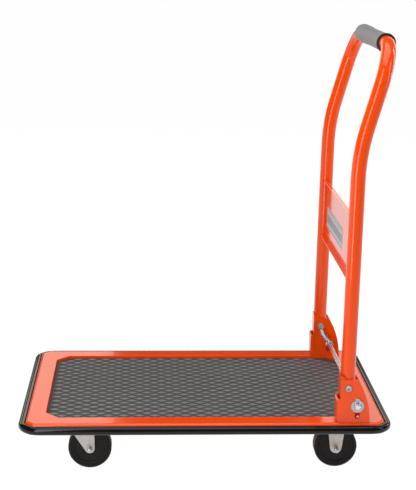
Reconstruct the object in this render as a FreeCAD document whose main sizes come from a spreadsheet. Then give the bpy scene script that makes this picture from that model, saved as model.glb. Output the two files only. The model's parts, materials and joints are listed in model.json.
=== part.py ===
import FreeCAD, Part
import math
import os
import Sketcher

# Folding platform cart. Frame: origin on the floor under the middle of the deck, +X towards the handle,
# +Y to the left of someone pushing the cart towards -X, +Z up. Millimetres and degrees.

os.makedirs("parts", exist_ok=True)
doc = FreeCAD.newDocument("platform_cart")
V = FreeCAD.Vector

SIZES = {
    # deck
    "deck_length": 720,
    "deck_width": 470,
    "pan_depth": 20.5,
    "pan_sheet": 1.5,
    "pan_edge_radius": 7,
    "pan_corner_cut": 16,
    "bumper_width": 13.5,
    "bumper_height": 15,
    "bumper_drop": 3.2,
    "bumper_corner": 45,
    "bumper_round": 5,
    "bumper_fit": 0.05,
    "recess_from_pan_end": 37.5,
    "recess_depth": 6.2,
    "recess_edge_radius": 1.2,
    "recess_corner_cut": 26,
    "mat_gap": 0.5,
    "mat_thick": 2,
    # rails under the pan
    "rail_width": 96,
    "rail_depth": 6,
    "rail_sheet": 2,
    "rail_end_gap": 19.5,
    "centre_rail_width": 60,
    # handle
    "pivot_from_end": 89.5,
    "pivot_above_deck": 70,
    "tube_diameter": 28,
    "tube_wall": 1.5,
    "post_lean": 0.5,
    "post_rake": 15.5,
    "post_lower": 451,
    "post_upper": 202,
    "post_tail": 28,
    "post_bend_radius": 380,
    "corner_bend_radius": 75,
    "grip_end_gap": 0.5,
    "grip_wall": 4.45,
    "grip_fit": 0.05,
    "panel_low": 203,
    "panel_height": 125,
    "panel_sheet": 1.2,
    "panel_lip": 8,
    "panel_fit": 0.03,
    "label_low": 231,
    "label_length": 214,
    "label_height": 44,
    "label_side_gap": 27.5,
    "label_thick": 0.4,
    # channel that turns with each post
    "channel_sheet": 1.2,
    "channel_above": 25.5,
    "channel_cheek_above": 7,
    "channel_web_below": 17.5,
    "channel_back": 12,
    "channel_heel": 4,
    "channel_latch_gap": 0.93,
    # bracket that the post turns in
    "bracket_sheet": 2,
    "side_gap": 0.3,
    "bracket_from_pan_side": 3.5,
    "bracket_above_pivot": 17,
    "bracket_web_gap": 3.8,
    "bracket_web_below_channel": 4,
    "bracket_bulge": 6.5,
    "bracket_bulge_slope": 5,
    "bracket_flat": 18,
    "bracket_back": 43,
    "bracket_back_radius": 162,
    "bracket_bend": 5,
    # pivot bolt
    "pivot_shank": 8,
    "pivot_running": 0.08,
    "pivot_hole_gap": 0.15,
    "pivot_head_diameter": 13,
    "pivot_head_height": 4.2,
    "pivot_socket": 5,
    "pivot_socket_depth": 2.4,
    "pivot_nut_flats": 13,
    "pivot_nut_height": 6.5,
    "bolt_end": 2,
    "dome_over_head": 1.2,
    # foot bar
    "bar_diameter": 9,
    "bar_behind_pivot": 18.5,
    "bar_below_pivot": 35.5,
    "bar_slot_gap": 0.3,
    "slot_above_bar": 17,
    "slot_below_bar": 26.3,
    "bar_end": 9,
    "washer_diameter": 25,
    "washer_thick": 1.6,
    "washer_gap": 0.4,
    "split_pin_wire": 2.4,
    "split_pin_hole_gap": 0.3,
    "split_pin_eye": 4.6,
    "split_pin_tail": 4,
    "stop_rivet_diameter": 6.8,
    "stop_rivet_collar": 13,
    "stop_rivet_head": 1.4,
    "stop_rivet_inset": 0.2,
    # return springs
    "spring_diameter": 9,
    "spring_wire": 1.3,
    "spring_offset": 9,
    "spring_hook": 7.2,
    # casters
    "wheel_diameter": 85,
    "wheel_width": 28,
    "tyre_wall": 13.5,
    "hub_proud": 1,
    "hub_inset": 1,
    "hub_boss_diameter": 20,
    "hub_web": 8,
    "hub_rim": 4,
    "tyre_shoulder": 3.5,
    "axle_diameter": 8,
    "axle_running": 0.06,
    "axle_head_diameter": 14,
    "axle_head_height": 3.6,
    "axle_nut_flats": 13,
    "axle_nut_height": 5,
    "fork_gap": 1,
    "fork_sheet": 2.5,
    "wheel_from_side": 94,
    "fixed_wheel_from_end": 100,
    "swivel_from_end": 111,
    "swivel_trail": 24,
    "plate_length": 84,
    "plate_width": 66,
    "plate_sheet": 3,
    "plate_hole_x": 62,
    "plate_hole_y": 48,
    "fixed_fork_round": 11.5,
    "fixed_fork_top": 38,
    "swivel_fork_round": 9.5,
    "swivel_fork_slope": 33,
    "swivel_fork_back": 8.5,
    "crown_diameter": 56,
    "crown_above_wheel": 5,
    "race_diameter": 46,
    "race_groove": 3,
    "race_gap": 0.35,
    "race_depth": 7.95,
    "kingpin_diameter": 12,
    "kingpin_head": 20,
    "kingpin_head_height": 2.4,
    "kingpin_gap": 0.3,
    "kingpin_running": 0.08,
    "caster_bolt_diameter": 6,
    "caster_bolt_gap": 0.3,
    "caster_bolt_head": 11,
    "caster_bolt_head_height": 4,
    "caster_nut_flats": 10,
    "caster_nut_height": 3.2,
    "caster_bolt_end": 0.4,
}


class Size:
    """A length or an angle as its number together with the spreadsheet formula that gives it."""

    def __init__(self, value, text):
        self.value = float(value)
        self.text = text

    def __add__(self, other):
        return join(self, other, "+", lambda a, b: a + b)

    def __radd__(self, other):
        return join(other, self, "+", lambda a, b: a + b)

    def __sub__(self, other):
        return join(self, other, "-", lambda a, b: a - b)

    def __rsub__(self, other):
        return join(other, self, "-", lambda a, b: a - b)

    def __mul__(self, other):
        return join(self, other, "*", lambda a, b: a * b)

    def __rmul__(self, other):
        return join(other, self, "*", lambda a, b: a * b)

    def __truediv__(self, other):
        return join(self, other, "/", lambda a, b: a / b)

    def __neg__(self):
        return 0 - self


def as_size(value):
    return value if isinstance(value, Size) else Size(value, str(value))


def join(a, b, sign, work):
    a, b = as_size(a), as_size(b)
    return Size(work(a.value, b.value), f"({a.text} {sign} {b.text})")


def sine(angle):
    return Size(math.sin(math.radians(angle.value)), f"sin({angle.text})")


def cosine(angle):
    return Size(math.cos(math.radians(angle.value)), f"cos({angle.text})")


def tangent(angle):
    return Size(math.tan(math.radians(angle.value)), f"tan({angle.text})")


def root(size):
    return Size(math.sqrt(size.value), f"sqrt({size.text})")


class Sizes:
    """Every driving dimension by name, each bound to its cell."""

    def __init__(self, table):
        self.sheet = doc.addObject("Spreadsheet::Sheet", "Sizes")
        for row, (name, value) in enumerate(table.items(), start=1):
            self.sheet.set(f"A{row}", name)
            self.sheet.set(f"B{row}", str(value))
            self.sheet.setAlias(f"B{row}", name)
            setattr(self, name, Size(value, f"Sizes.{name}"))
        doc.recompute()


p = Sizes(SIZES)
NODES = []


# ---- helpers ------------------------------------------------------------------------------------

def node(part):
    """Mark a finished document object as a sub-part."""
    NODES.append(part)
    return part


def bind(part, prop, size):
    part.setExpression(prop, as_size(size).text)


def place(part, x=0, y=0, z=0, turn=None):
    """Put a sub-part at a point, turned about an axis by an angle when turn = (axis, angle)."""
    axis, angle = turn if turn else (V(0, 0, 1), 0)
    angle = as_size(angle)
    at = [as_size(c) for c in (x, y, z)]
    turned = FreeCAD.Rotation(axis, angle.value)
    part.Placement = FreeCAD.Placement(V(*[c.value for c in at]), turned)
    for name, c in zip("xyz", at):
        bind(part, f"Placement.Base.{name}", c)
    return part


def new_body(name):
    body = doc.addObject("PartDesign::Body", name)
    body.Label = name
    return body


def sketch_on(body, plane, name, height=0):
    """A sketch on an origin plane of its own body, lifted along the plane's normal."""
    sketch = body.newObject("Sketcher::SketchObject", f"{body.Name}_{name}")
    support = [f for f in body.Origin.OriginFeatures if f.Role == plane][0]
    sketch.AttachmentSupport = [(support, "")]
    sketch.MapMode = "FlatFace"
    bind(sketch, "AttachmentOffset.Base.z", height)
    return sketch


def pin_point(sketch, geo, pos, x, y):
    """Tie one point of a sketch to two formulas."""
    for kind, c in (("DistanceX", x), ("DistanceY", y)):
        c = as_size(c)
        index = sketch.addConstraint(Sketcher.Constraint(kind, -1, 1, geo, pos, c.value))
        sketch.setExpression(f"Constraints[{index}]", c.text)


def arc_between(start, end, radius):
    """The shorter arc from start to end; a positive radius keeps its centre on the left."""
    chord = end - start
    half = chord.Length / 2
    left = V(-chord.y, chord.x, 0).normalize()
    reach = math.sqrt(radius * radius - half * half) * (1 if radius > 0 else -1)
    centre = (start + end) / 2 + left * reach
    a = math.atan2(start.y - centre.y, start.x - centre.x)
    b = math.atan2(end.y - centre.y, end.x - centre.x)
    circle = Part.Circle(centre, V(0, 0, 1), abs(radius))
    return Part.ArcOfCircle(circle, a, b) if radius > 0 else Part.ArcOfCircle(circle, b, a)


def outline(sketch, points, arcs=None):
    """A closed outline through points; arcs gives a signed radius for the edge after a point."""
    arcs = arcs or {}
    points = [(as_size(x), as_size(y)) for x, y in points]
    at = [V(x.value, y.value, 0) for x, y in points]
    count = len(points)
    ends = []
    for i in range(count):
        start, end = at[i], at[(i + 1) % count]
        if i in arcs:
            radius = as_size(arcs[i])
            geo = sketch.addGeometry(arc_between(start, end, radius.value))
            ends.append((geo, 1, 2) if radius.value > 0 else (geo, 2, 1))
            index = sketch.addConstraint(Sketcher.Constraint("Radius", geo, abs(radius.value)))
            sketch.setExpression(f"Constraints[{index}]", f"abs({radius.text})")
        else:
            geo = sketch.addGeometry(Part.LineSegment(start, end))
            ends.append((geo, 1, 2))
    for i in range(count):
        geo, first, last = ends[i]
        after, after_first, _ = ends[(i + 1) % count]
        sketch.addConstraint(Sketcher.Constraint("Coincident", geo, last, after, after_first))
        pin_point(sketch, geo, first, *points[i])
    return sketch


def circle(sketch, diameter, x=0, y=0):
    diameter, x, y = as_size(diameter), as_size(x), as_size(y)
    geo = sketch.addGeometry(Part.Circle(V(x.value, y.value, 0), V(0, 0, 1), diameter.value / 2))
    index = sketch.addConstraint(Sketcher.Constraint("Diameter", geo, diameter.value))
    sketch.setExpression(f"Constraints[{index}]", diameter.text)
    pin_point(sketch, geo, 3, x, y)
    return sketch


def rectangle(sketch, x0, x1, y0, y1):
    return outline(sketch, [(x0, y0), (x1, y0), (x1, y1), (x0, y1)])


def cut_rectangle(sketch, length, width, cut):
    """A rectangle about the origin with its four corners cut off at 45 degrees."""
    x, y = length / 2, width / 2
    return outline(sketch, [(x - cut, -y), (x, cut - y), (x, y - cut), (x - cut, y),
                            (cut - x, y), (-x, y - cut), (-x, cut - y), (cut - x, -y)])


def hexagon(sketch, flats):
    across = flats / math.sqrt(3)
    return outline(sketch, [(across * math.cos(math.radians(60 * i)), across * math.sin(math.radians(60 * i)))
                            for i in range(6)])


def finish(body, feature):
    """Make a feature its body's last one and prove that it worked."""
    body.Tip = feature
    doc.recompute()
    assert "Invalid" not in feature.State and body.Shape.isValid(), f"{feature.Name}: {feature.State}"


def pad(sketch, length, both=False, back=False):
    body = sketch.getParentGeoFeatureGroup()
    feature = body.newObject("PartDesign::Pad", f"{sketch.Name}_pad")
    feature.Profile = sketch
    bind(feature, "Length", length)
    feature.Midplane = both
    feature.Reversed = back
    finish(body, feature)
    return feature


def pocket(sketch, length=None, both=False, back=False):
    """Cut a sketch out of its body, right through when no length is given, and prove that it cut."""
    body = sketch.getParentGeoFeatureGroup()
    before = body.Shape.Volume
    feature = body.newObject("PartDesign::Pocket", f"{sketch.Name}_pocket")
    feature.Profile = sketch
    if length is None:
        feature.Type = "ThroughAll"
    else:
        bind(feature, "Length", length)
    feature.Midplane = both
    feature.Reversed = back
    finish(body, feature)
    assert body.Shape.Volume < before - 1e-3, f"{sketch.Name} cut nothing"
    return feature


def revolve(sketch, axis):
    body = sketch.getParentGeoFeatureGroup()
    feature = body.newObject("PartDesign::Revolution", f"{sketch.Name}_turned")
    feature.Profile = sketch
    feature.ReferenceAxis = ([f for f in body.Origin.OriginFeatures if f.Role == axis][0], [""])
    feature.Angle = 360
    finish(body, feature)
    return feature


def fillet(body, radius, wanted):
    """Round the edges of a body that the test picks."""
    names = [f"Edge{i}" for i, edge in enumerate(body.Shape.Edges, start=1) if wanted(edge)]
    assert names, f"{body.Name} has no such edge"
    base = body.Tip
    feature = body.newObject("PartDesign::Fillet", f"{body.Name}_fillet")
    feature.Base = (base, names)
    bind(feature, "Radius", radius)
    finish(body, feature)
    return feature


def lies(edge, x=None, y=None, z=None, slack=0.01):
    """True when every point of an edge has the wanted coordinate, by size of x and y."""
    box = edge.BoundBox
    spans = ((x, box.XMin, box.XMax), (y, box.YMin, box.YMax))
    for want, low, high in spans:
        if want is not None and (high - low > slack or abs(abs(high) - want) > slack):
            return False
    return z is None or (abs(box.ZMin - z) < slack and abs(box.ZMax - z) < slack)


def turned(name, points, arcs=None):
    """A body turned about its own Z axis from a half outline of (radius, height) points."""
    body = new_body(name)
    revolve(outline(sketch_on(body, "XZ_Plane", "half"), points, arcs), "Z_Axis")
    return body


# ---- places that several pieces share -----------------------------------------------------------

SIDES = {"left": 1, "right": -1}
ALONG_Y = V(1, 0, 0)
# radius of a half-round end over half its chord, a hair above 1 so that the arc's centre is defined
ALMOST_HALF_ROUND = 1.0001

# heights, from the floor up
axle_z = p.wheel_diameter / 2
crown_top = p.wheel_diameter + p.crown_above_wheel + p.fork_sheet
plate_low = crown_top + p.race_gap + p.race_depth
rail_low = plate_low + p.plate_sheet
mat_low = rail_low + p.rail_depth + p.pan_sheet
deck_top = mat_low + p.recess_depth
pivot_z = deck_top + p.pivot_above_deck
bar_z = pivot_z - p.bar_below_pivot

# widths, from the bumper inwards
pan_length = p.deck_length - 2 * p.bumper_width
pan_width = p.deck_width - 2 * p.bumper_width
tube_r = p.tube_diameter / 2
bracket_half = tube_r + p.channel_sheet + p.side_gap + p.bracket_sheet
post_y = pan_width / 2 - p.bracket_from_pan_side - bracket_half
post_spacing = 2 * post_y
recess_width = post_spacing - 2 * bracket_half
recess_length = pan_length - 2 * p.recess_from_pan_end
rail_length = pan_width - 2 * p.rail_end_gap
wheel_across = p.deck_width / 2 - p.wheel_from_side
hub_width = p.wheel_width + 2 * p.hub_proud
fork_half = hub_width / 2 + p.fork_gap + p.fork_sheet

# places along the deck
pivot_x = p.deck_length / 2 - p.pivot_from_end
bar_x = pivot_x + p.bar_behind_pivot
bar_reach = root(p.bar_behind_pivot * p.bar_behind_pivot + p.bar_below_pivot * p.bar_below_pivot)
swivel_x = p.swivel_from_end - p.deck_length / 2
swivel_axle_x = swivel_x + p.swivel_trail
fixed_axle_x = p.deck_length / 2 - p.fixed_wheel_from_end


# ---- deck ---------------------------------------------------------------------------------------

def make_deck_pan():
    """Pressed tray turned upside down, with a recess for the mat pressed into its top."""
    low = deck_top - p.pan_depth
    floor = p.pan_depth - p.recess_depth - p.pan_sheet
    sheet = 2 * p.pan_sheet
    body = new_body("deck_pan")
    outer = sketch_on(body, "XY_Plane", "outer", low)
    pad(cut_rectangle(outer, pan_length, pan_width, p.pan_corner_cut), p.pan_depth)
    fillet(body, p.pan_edge_radius, lambda e: lies(e, z=deck_top.value))
    recess = sketch_on(body, "XY_Plane", "recess", deck_top)
    pocket(cut_rectangle(recess, recess_length, recess_width, p.recess_corner_cut), p.recess_depth)
    inside_recess = (recess_width / 2).value + p.recess_edge_radius.value
    fillet(body, p.recess_edge_radius, lambda e: lies(e, z=deck_top.value)
           and e.BoundBox.YMax < inside_recess and e.BoundBox.YMin > -inside_recess)
    inner = sketch_on(body, "XY_Plane", "inner", low)
    pocket(cut_rectangle(inner, pan_length - sheet, pan_width - sheet, p.pan_corner_cut), floor, back=True)
    ring = sketch_on(body, "XY_Plane", "ring", low + floor)
    inset = sheet + 2 * p.pan_edge_radius
    cut_rectangle(ring, pan_length - inset, pan_width - inset, p.pan_corner_cut)
    cut_rectangle(ring, recess_length + sheet, recess_width + sheet, p.recess_corner_cut)
    pocket(ring, p.recess_depth, back=True)
    node(place(body))


def make_mat():
    body = new_body("mat")
    outer = sketch_on(body, "XY_Plane", "outer")
    gap = 2 * p.mat_gap
    pad(cut_rectangle(outer, recess_length - gap, recess_width - gap, p.recess_corner_cut), p.mat_thick)
    node(place(body, z=mat_low))


def make_bumper():
    fit = 2 * p.bumper_fit
    body = new_body("bumper")
    x, y = p.deck_length / 2, p.deck_width / 2
    pad(rectangle(sketch_on(body, "XY_Plane", "outer"), -x, x, -y, y), p.bumper_height)
    fillet(body, p.bumper_corner, lambda e: lies(e, x=x.value, y=y.value))
    fillet(body, p.bumper_round, lambda e: lies(e, z=0) or lies(e, z=p.bumper_height.value))
    inner = sketch_on(body, "XY_Plane", "inner")
    pocket(cut_rectangle(inner, pan_length + fit, pan_width + fit, p.pan_corner_cut), back=True)
    node(place(body, z=deck_top - p.bumper_drop - p.bumper_height))


def make_rail(name, width, x):
    """A channel under the pan, open at the top, running across the deck."""
    body = new_body(name)
    edge, sheet = width / 2, p.rail_sheet
    section = outline(sketch_on(body, "XZ_Plane", "section"),
                      [(-edge, p.rail_depth), (-edge, 0), (edge, 0), (edge, p.rail_depth),
                       (edge - sheet, p.rail_depth), (edge - sheet, sheet),
                       (sheet - edge, sheet), (sheet - edge, p.rail_depth)])
    pad(section, rail_length, both=True)
    if x.value != 0:
        for side in (1, -1):
            plate_holes(body, "holes_left" if side > 0 else "holes_right", 0, side * wheel_across)
    node(place(body, x=x, z=rail_low))


def plate_holes(body, name, height, y):
    holes = sketch_on(body, "XY_Plane", name, height)
    for dx in (-1, 1):
        for dy in (-1, 1):
            circle(holes, p.caster_bolt_diameter + 2 * p.caster_bolt_gap,
                   dx * p.plate_hole_x / 2, y + dy * p.plate_hole_y / 2)
    pocket(holes, p.rail_sheet + p.plate_sheet, both=True)


# ---- bracket, pivot bolt and what the foot bar runs in -------------------------------------------

def make_bracket(name, side):
    """Folded sheet standing on the pan: two cheeks joined by a low web in front, origin at the pivot."""
    body = new_body(name)
    floor = -p.pivot_above_deck
    web_top = -p.channel_web_below - p.bracket_web_below_channel
    top = p.bracket_above_pivot
    nose = -(tube_r + p.channel_sheet + p.bracket_web_gap + p.bracket_sheet)
    front = nose + p.bracket_bulge
    slope = p.bracket_bulge_slope
    profile = [(nose + slope / 2, floor), (p.bracket_back, floor), (p.bracket_flat, top), (front, top),
               (front, web_top), (nose + slope / 2, web_top), (nose, web_top - slope), (nose, floor + slope)]
    side_view = outline(sketch_on(body, "XZ_Plane", "side"), profile, {1: p.bracket_back_radius})
    pad(side_view, 2 * bracket_half, both=True)
    fillet(body, p.bracket_bend, lambda e: lies(e, x=-nose.value, y=bracket_half.value))
    inside = bracket_half - p.bracket_sheet
    gap = sketch_on(body, "XY_Plane", "inside", floor)
    rectangle(gap, nose + p.bracket_sheet, p.bracket_back + p.bracket_sheet, -inside, inside)
    pocket(gap, back=True)
    hole = circle(sketch_on(body, "XZ_Plane", "pivot_hole"), p.pivot_shank + 2 * p.pivot_hole_gap)
    pocket(hole, 2 * bracket_half, both=True)
    cut_bar_slot(body)
    node(place(body, x=pivot_x, y=side * post_y, z=pivot_z))


def cut_bar_slot(body):
    width = p.bar_diameter + 2 * p.bar_slot_gap
    high = p.slot_above_bar - p.bar_below_pivot - width / 2
    low = width / 2 - p.slot_below_bar - p.bar_below_pivot
    x = p.bar_behind_pivot
    straight = rectangle(sketch_on(body, "XZ_Plane", "slot"), x - width / 2, x + width / 2, low, high)
    pocket(straight, 2 * bracket_half, both=True)
    for name, z in (("slot_top", high), ("slot_bottom", low)):
        pocket(circle(sketch_on(body, "XZ_Plane", name), width, x, z), 2 * bracket_half, both=True)


def make_pivot_bolt(side_name, side):
    """Button-head bolt through bracket, channel and post, head outside, nut inside."""
    bolt = new_body(f"pivot_bolt_{side_name}")
    head, shank = p.pivot_head_diameter / 2, p.pivot_shank / 2
    length = 2 * bracket_half + p.pivot_nut_height + p.bolt_end
    half = [(0, 0), (0, -length), (shank, -length), (shank, 0), (head, 0), (head, p.pivot_head_height / 3),
            (head / 2, p.pivot_head_height), (0, p.pivot_head_height)]
    revolve(outline(sketch_on(bolt, "XZ_Plane", "half"), half, {5: head * p.dome_over_head}), "Z_Axis")
    pocket(hexagon(sketch_on(bolt, "XY_Plane", "socket", p.pivot_head_height), p.pivot_socket),
           p.pivot_socket_depth)
    outer = side * (post_y + bracket_half)
    node(place(bolt, pivot_x, outer, pivot_z, (ALONG_Y, -90 * side)))
    nut = new_body(f"pivot_nut_{side_name}")
    pad(hexagon(sketch_on(nut, "XY_Plane", "flats"), p.pivot_nut_flats), p.pivot_nut_height)
    pocket(circle(sketch_on(nut, "XY_Plane", "bore"), p.pivot_shank), back=True)
    inner = side * (post_y - bracket_half)
    node(place(nut, pivot_x, inner, pivot_z, (ALONG_Y, 90 * side)))


def make_stop_rivet(side_name, side):
    """Rivet sunk in the bottom end of the outer slot, under the lowest place of the foot bar."""
    head, collar = p.stop_rivet_diameter / 2, p.stop_rivet_collar / 2
    sheet, thick = p.bracket_sheet, p.washer_thick
    face = -p.stop_rivet_inset
    rivet = turned(f"stop_rivet_{side_name}",
                   [(0, -sheet - thick), (collar, -sheet - thick), (collar, -sheet), (head, -sheet),
                    (head, face - p.stop_rivet_head), (head / 2, face), (0, face)],
                   {4: head * p.dome_over_head})
    z = bar_z - p.slot_below_bar + p.bar_diameter / 2 + p.bar_slot_gap
    node(place(rivet, bar_x, side * (post_y + bracket_half), z, (ALONG_Y, -90 * side)))


# ---- handle -------------------------------------------------------------------------------------

def bent_path(points, radii):
    """Straight runs joined by tangent arcs at the inner points."""
    edges = []
    start = points[0]
    for before, at, after, radius in zip(points, points[1:], points[2:], radii):
        a = (before - at).normalize()
        b = (after - at).normalize()
        half = a.getAngle(b) / 2
        run = radius / math.tan(half)
        middle = at + (a + b).normalize() * (radius / math.sin(half) - radius)
        first, last = at + a * run, at + b * run
        edges.append(Part.LineSegment(start, first).toShape())
        edges.append(Part.Arc(first, middle, last).toShape())
        start = last
    edges.append(Part.LineSegment(start, points[-1]).toShape())
    return Part.Wire(edges)


def handle_points():
    """Corner points of the tube's centre line from the right post's foot to the left post's foot."""
    lean, rake = math.radians(p.post_lean.value), math.radians(p.post_rake.value)
    along = V(math.sin(lean), 0, math.cos(lean))
    up = V(math.sin(rake), 0, math.cos(rake))
    foot = along * -p.post_tail.value
    knee = along * p.post_lower.value
    top = knee + up * p.post_upper.value
    half = V(0, post_y.value, 0)
    return [foot - half, knee - half, top - half, top + half, knee + half, foot + half]


def make_handle_tube():
    """One bent tube, origin midway between the two pivots, drilled for the pivot bolts."""
    points = handle_points()
    bend, corner = p.post_bend_radius.value, p.corner_bend_radius.value
    path = doc.addObject("Part::Feature", "handle_path")
    path.Shape = bent_path(points, [bend, corner, corner, bend])
    runs = [f"Edge{i}" for i in range(1, len(path.Shape.Edges) + 1)]
    swept = []
    for name, diameter in (("outside", p.tube_diameter), ("inside", p.tube_diameter - 2 * p.tube_wall)):
        ring = doc.addObject("Part::Circle", f"tube_{name}_ring")
        bind(ring, "Radius", diameter / 2)
        direction = points[1] - points[0]
        ring.Placement = FreeCAD.Placement(points[0], FreeCAD.Rotation(V(0, 0, 1), direction))
        sweep = doc.addObject("Part::Sweep", f"tube_{name}")
        sweep.Sections = [ring]
        sweep.Spine = (path, runs)
        sweep.Solid = True
        sweep.Frenet = False
        swept.append(sweep)
    hollow = doc.addObject("Part::Cut", "tube_hollow")
    hollow.Base, hollow.Tool = swept
    drill = doc.addObject("Part::Cylinder", "tube_drill")
    bind(drill, "Radius", p.pivot_shank / 2 + p.pivot_running)
    bind(drill, "Height", post_spacing + 2 * p.tube_diameter)
    place(drill, y=post_spacing / 2 + p.tube_diameter, turn=(ALONG_Y, 90))
    tube = doc.addObject("Part::Cut", "handle_tube")
    tube.Label = "handle_tube"
    tube.Base, tube.Tool = hollow, drill
    doc.recompute()
    node(place(tube, x=pivot_x, z=pivot_z))


def handle_top():
    """Where the crossbar's axis runs."""
    x = pivot_x + p.post_lower * sine(p.post_lean) + p.post_upper * sine(p.post_rake)
    z = pivot_z + p.post_lower * cosine(p.post_lean) + p.post_upper * cosine(p.post_rake)
    return x, z


def make_grip():
    """Foam sleeve along the straight part of the crossbar."""
    body = new_body("grip")
    length = post_spacing - 2 * p.corner_bend_radius - 2 * p.grip_end_gap
    bore = p.tube_diameter + 2 * p.grip_fit
    pad(circle(sketch_on(body, "XZ_Plane", "outer"), bore + 2 * p.grip_wall), length, both=True)
    pocket(circle(sketch_on(body, "XZ_Plane", "bore"), bore), length, both=True)
    fillet(body, p.tube_wall, lambda e: lies(e, y=length.value / 2)
           and e.BoundBox.XLength > bore.value + p.tube_wall.value)
    x, z = handle_top()
    node(place(body, x=x, z=z))


def make_panel():
    """Folded sheet between the posts, its lips pointing forwards, in the posts' leaning frame."""
    body = new_body("panel")
    sheet, lip = p.panel_sheet, -p.panel_lip
    low, high = p.panel_low, p.panel_low + p.panel_height
    section = outline(sketch_on(body, "XZ_Plane", "section"),
                      [(lip, low), (sheet, low), (sheet, high), (lip, high),
                       (lip, high - sheet), (0, high - sheet), (0, low + sheet), (lip, low + sheet)])
    pad(section, post_spacing, both=True)
    fillet(body, 2 * sheet,
           lambda e: lies(e, x=sheet.value, z=low.value) or lies(e, x=sheet.value, z=high.value))
    saddles = sketch_on(body, "XY_Plane", "saddles")
    for side in (-1, 1):
        circle(saddles, p.tube_diameter + 2 * p.panel_fit, 0, side * post_y)
    pocket(saddles, back=True)
    lean_with_post(body)
    label = new_body("label_plate")
    view = sketch_on(label, "YZ_Plane", "face", -p.label_thick)
    far = post_y - tube_r - p.label_side_gap
    rectangle(view, far - p.label_length, far, p.label_low, p.label_low + p.label_height)
    pad(view, p.label_thick)
    lean_with_post(label)


def lean_with_post(body, y=0):
    node(place(body, pivot_x, y, pivot_z, (V(0, 1, 0), p.post_lean)))


def make_channel(name, side):
    """Folded sheet round the front and sides of a post's foot, turning with it about the pivot."""
    body = new_body(name)
    sheet, above, below = p.channel_sheet, p.channel_above, p.channel_web_below
    front = -tube_r - sheet
    reach = bar_reach - p.bar_diameter / 2 - p.channel_latch_gap
    back, cheek_above = p.channel_back, p.channel_cheek_above
    heel = back + p.channel_heel
    foot = root(reach * reach - back * back)
    profile = [(front, -below), (-back, -foot), (back, -foot), (heel, -below), (heel, 0),
               (back, cheek_above), (front, above)]
    pad(outline(sketch_on(body, "XZ_Plane", "side"), profile, {1: reach}), 2 * (tube_r + sheet), both=True)
    fillet(body, 2 * sheet, lambda e: lies(e, x=-front.value, y=(tube_r + sheet).value))
    inside = rectangle(sketch_on(body, "XY_Plane", "inside", -reach),
                       -tube_r, tube_r + reach, -tube_r, tube_r)
    pocket(inside, back=True)
    hole = circle(sketch_on(body, "XZ_Plane", "pivot_hole"), p.pivot_shank + 2 * p.pivot_running)
    pocket(hole, post_spacing, both=True)
    lean_with_post(body, side * post_y)


# ---- foot bar -----------------------------------------------------------------------------------

def make_foot_bar():
    body = new_body("foot_bar")
    length = post_spacing + 2 * (bracket_half + p.bar_end)
    pad(circle(sketch_on(body, "XZ_Plane", "round"), p.bar_diameter), length, both=True)
    holes = sketch_on(body, "XY_Plane", "pin_holes")
    for side in (-1, 1):
        circle(holes, p.split_pin_wire + 2 * p.split_pin_hole_gap, 0, side * pin_y())
    pocket(holes, p.bar_diameter * 2, both=True)
    fillet(body, p.washer_thick / 2, lambda e: lies(e, y=length.value / 2))
    node(place(body, x=bar_x, z=bar_z))


def pin_y():
    """Distance of each split pin from the cart's middle plane."""
    return post_y + bracket_half + p.washer_gap + p.washer_thick + p.split_pin_wire


def make_bar_fittings(side_name, side):
    washer = new_body(f"washer_{side_name}")
    pad(circle(sketch_on(washer, "XZ_Plane", "outer"), p.washer_diameter), p.washer_thick, both=True)
    bore = circle(sketch_on(washer, "XZ_Plane", "bore"), p.bar_diameter + 2 * p.bar_slot_gap)
    pocket(bore, p.washer_thick, both=True)
    y = post_y + bracket_half + p.washer_gap + p.washer_thick / 2
    node(place(washer, bar_x, side * y, bar_z))
    wire = p.split_pin_wire / 2
    eye_r = p.split_pin_eye / 2 + wire
    leg = doc.addObject("Part::Cylinder", f"split_pin_leg_{side_name}")
    bind(leg, "Radius", wire)
    bind(leg, "Height", p.bar_diameter + 2 * p.split_pin_tail)
    place(leg, z=-p.bar_diameter / 2 - p.split_pin_tail)
    eye = doc.addObject("Part::Torus", f"split_pin_eye_{side_name}")
    bind(eye, "Radius1", eye_r)
    bind(eye, "Radius2", wire)
    place(eye, z=p.bar_diameter / 2 + p.split_pin_tail + eye_r, turn=(ALONG_Y, 90))
    pin = doc.addObject("Part::Fuse", f"split_pin_{side_name}")
    pin.Label = f"split_pin_{side_name}"
    pin.Base, pin.Tool = leg, eye
    doc.recompute()
    node(place(pin, bar_x, side * pin_y(), bar_z))


def make_spring(side_name, side):
    """Close-wound pull spring from the pivot bolt to the foot bar, with a round hook at each end."""
    hook = p.spring_hook + p.spring_wire
    coil_length = bar_reach - 2 * hook - p.spring_wire
    outer, inner = [doc.addObject("Part::Cylinder", f"spring_{n}_{side_name}") for n in ("outer", "inner")]
    bind(outer, "Radius", p.spring_diameter / 2)
    bind(inner, "Radius", p.spring_diameter / 2 - p.spring_wire)
    for cylinder in (outer, inner):
        bind(cylinder, "Height", coil_length)
        place(cylinder, z=hook)
    coil = doc.addObject("Part::Cut", f"spring_coil_{side_name}")
    coil.Base, coil.Tool = outer, inner
    rings = []
    for name, z in (("high", 0), ("low", coil_length + 2 * hook)):
        ring = doc.addObject("Part::Torus", f"spring_hook_{name}_{side_name}")
        bind(ring, "Radius1", hook - p.spring_wire / 2)
        bind(ring, "Radius2", p.spring_wire / 2)
        place(ring, z=z, turn=(ALONG_Y, 90))
        rings.append(ring)
    spring = doc.addObject("Part::MultiFuse", f"spring_{side_name}")
    spring.Label = f"spring_{side_name}"
    spring.Shapes = [coil] + rings
    doc.recompute()
    down = math.degrees(math.atan2(p.bar_below_pivot.value, p.bar_behind_pivot.value))
    y = side * (post_y - bracket_half - p.spring_offset)
    node(place(spring, pivot_x, y, pivot_z, (V(0, 1, 0), 90 + down)))


# ---- casters ------------------------------------------------------------------------------------

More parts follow.
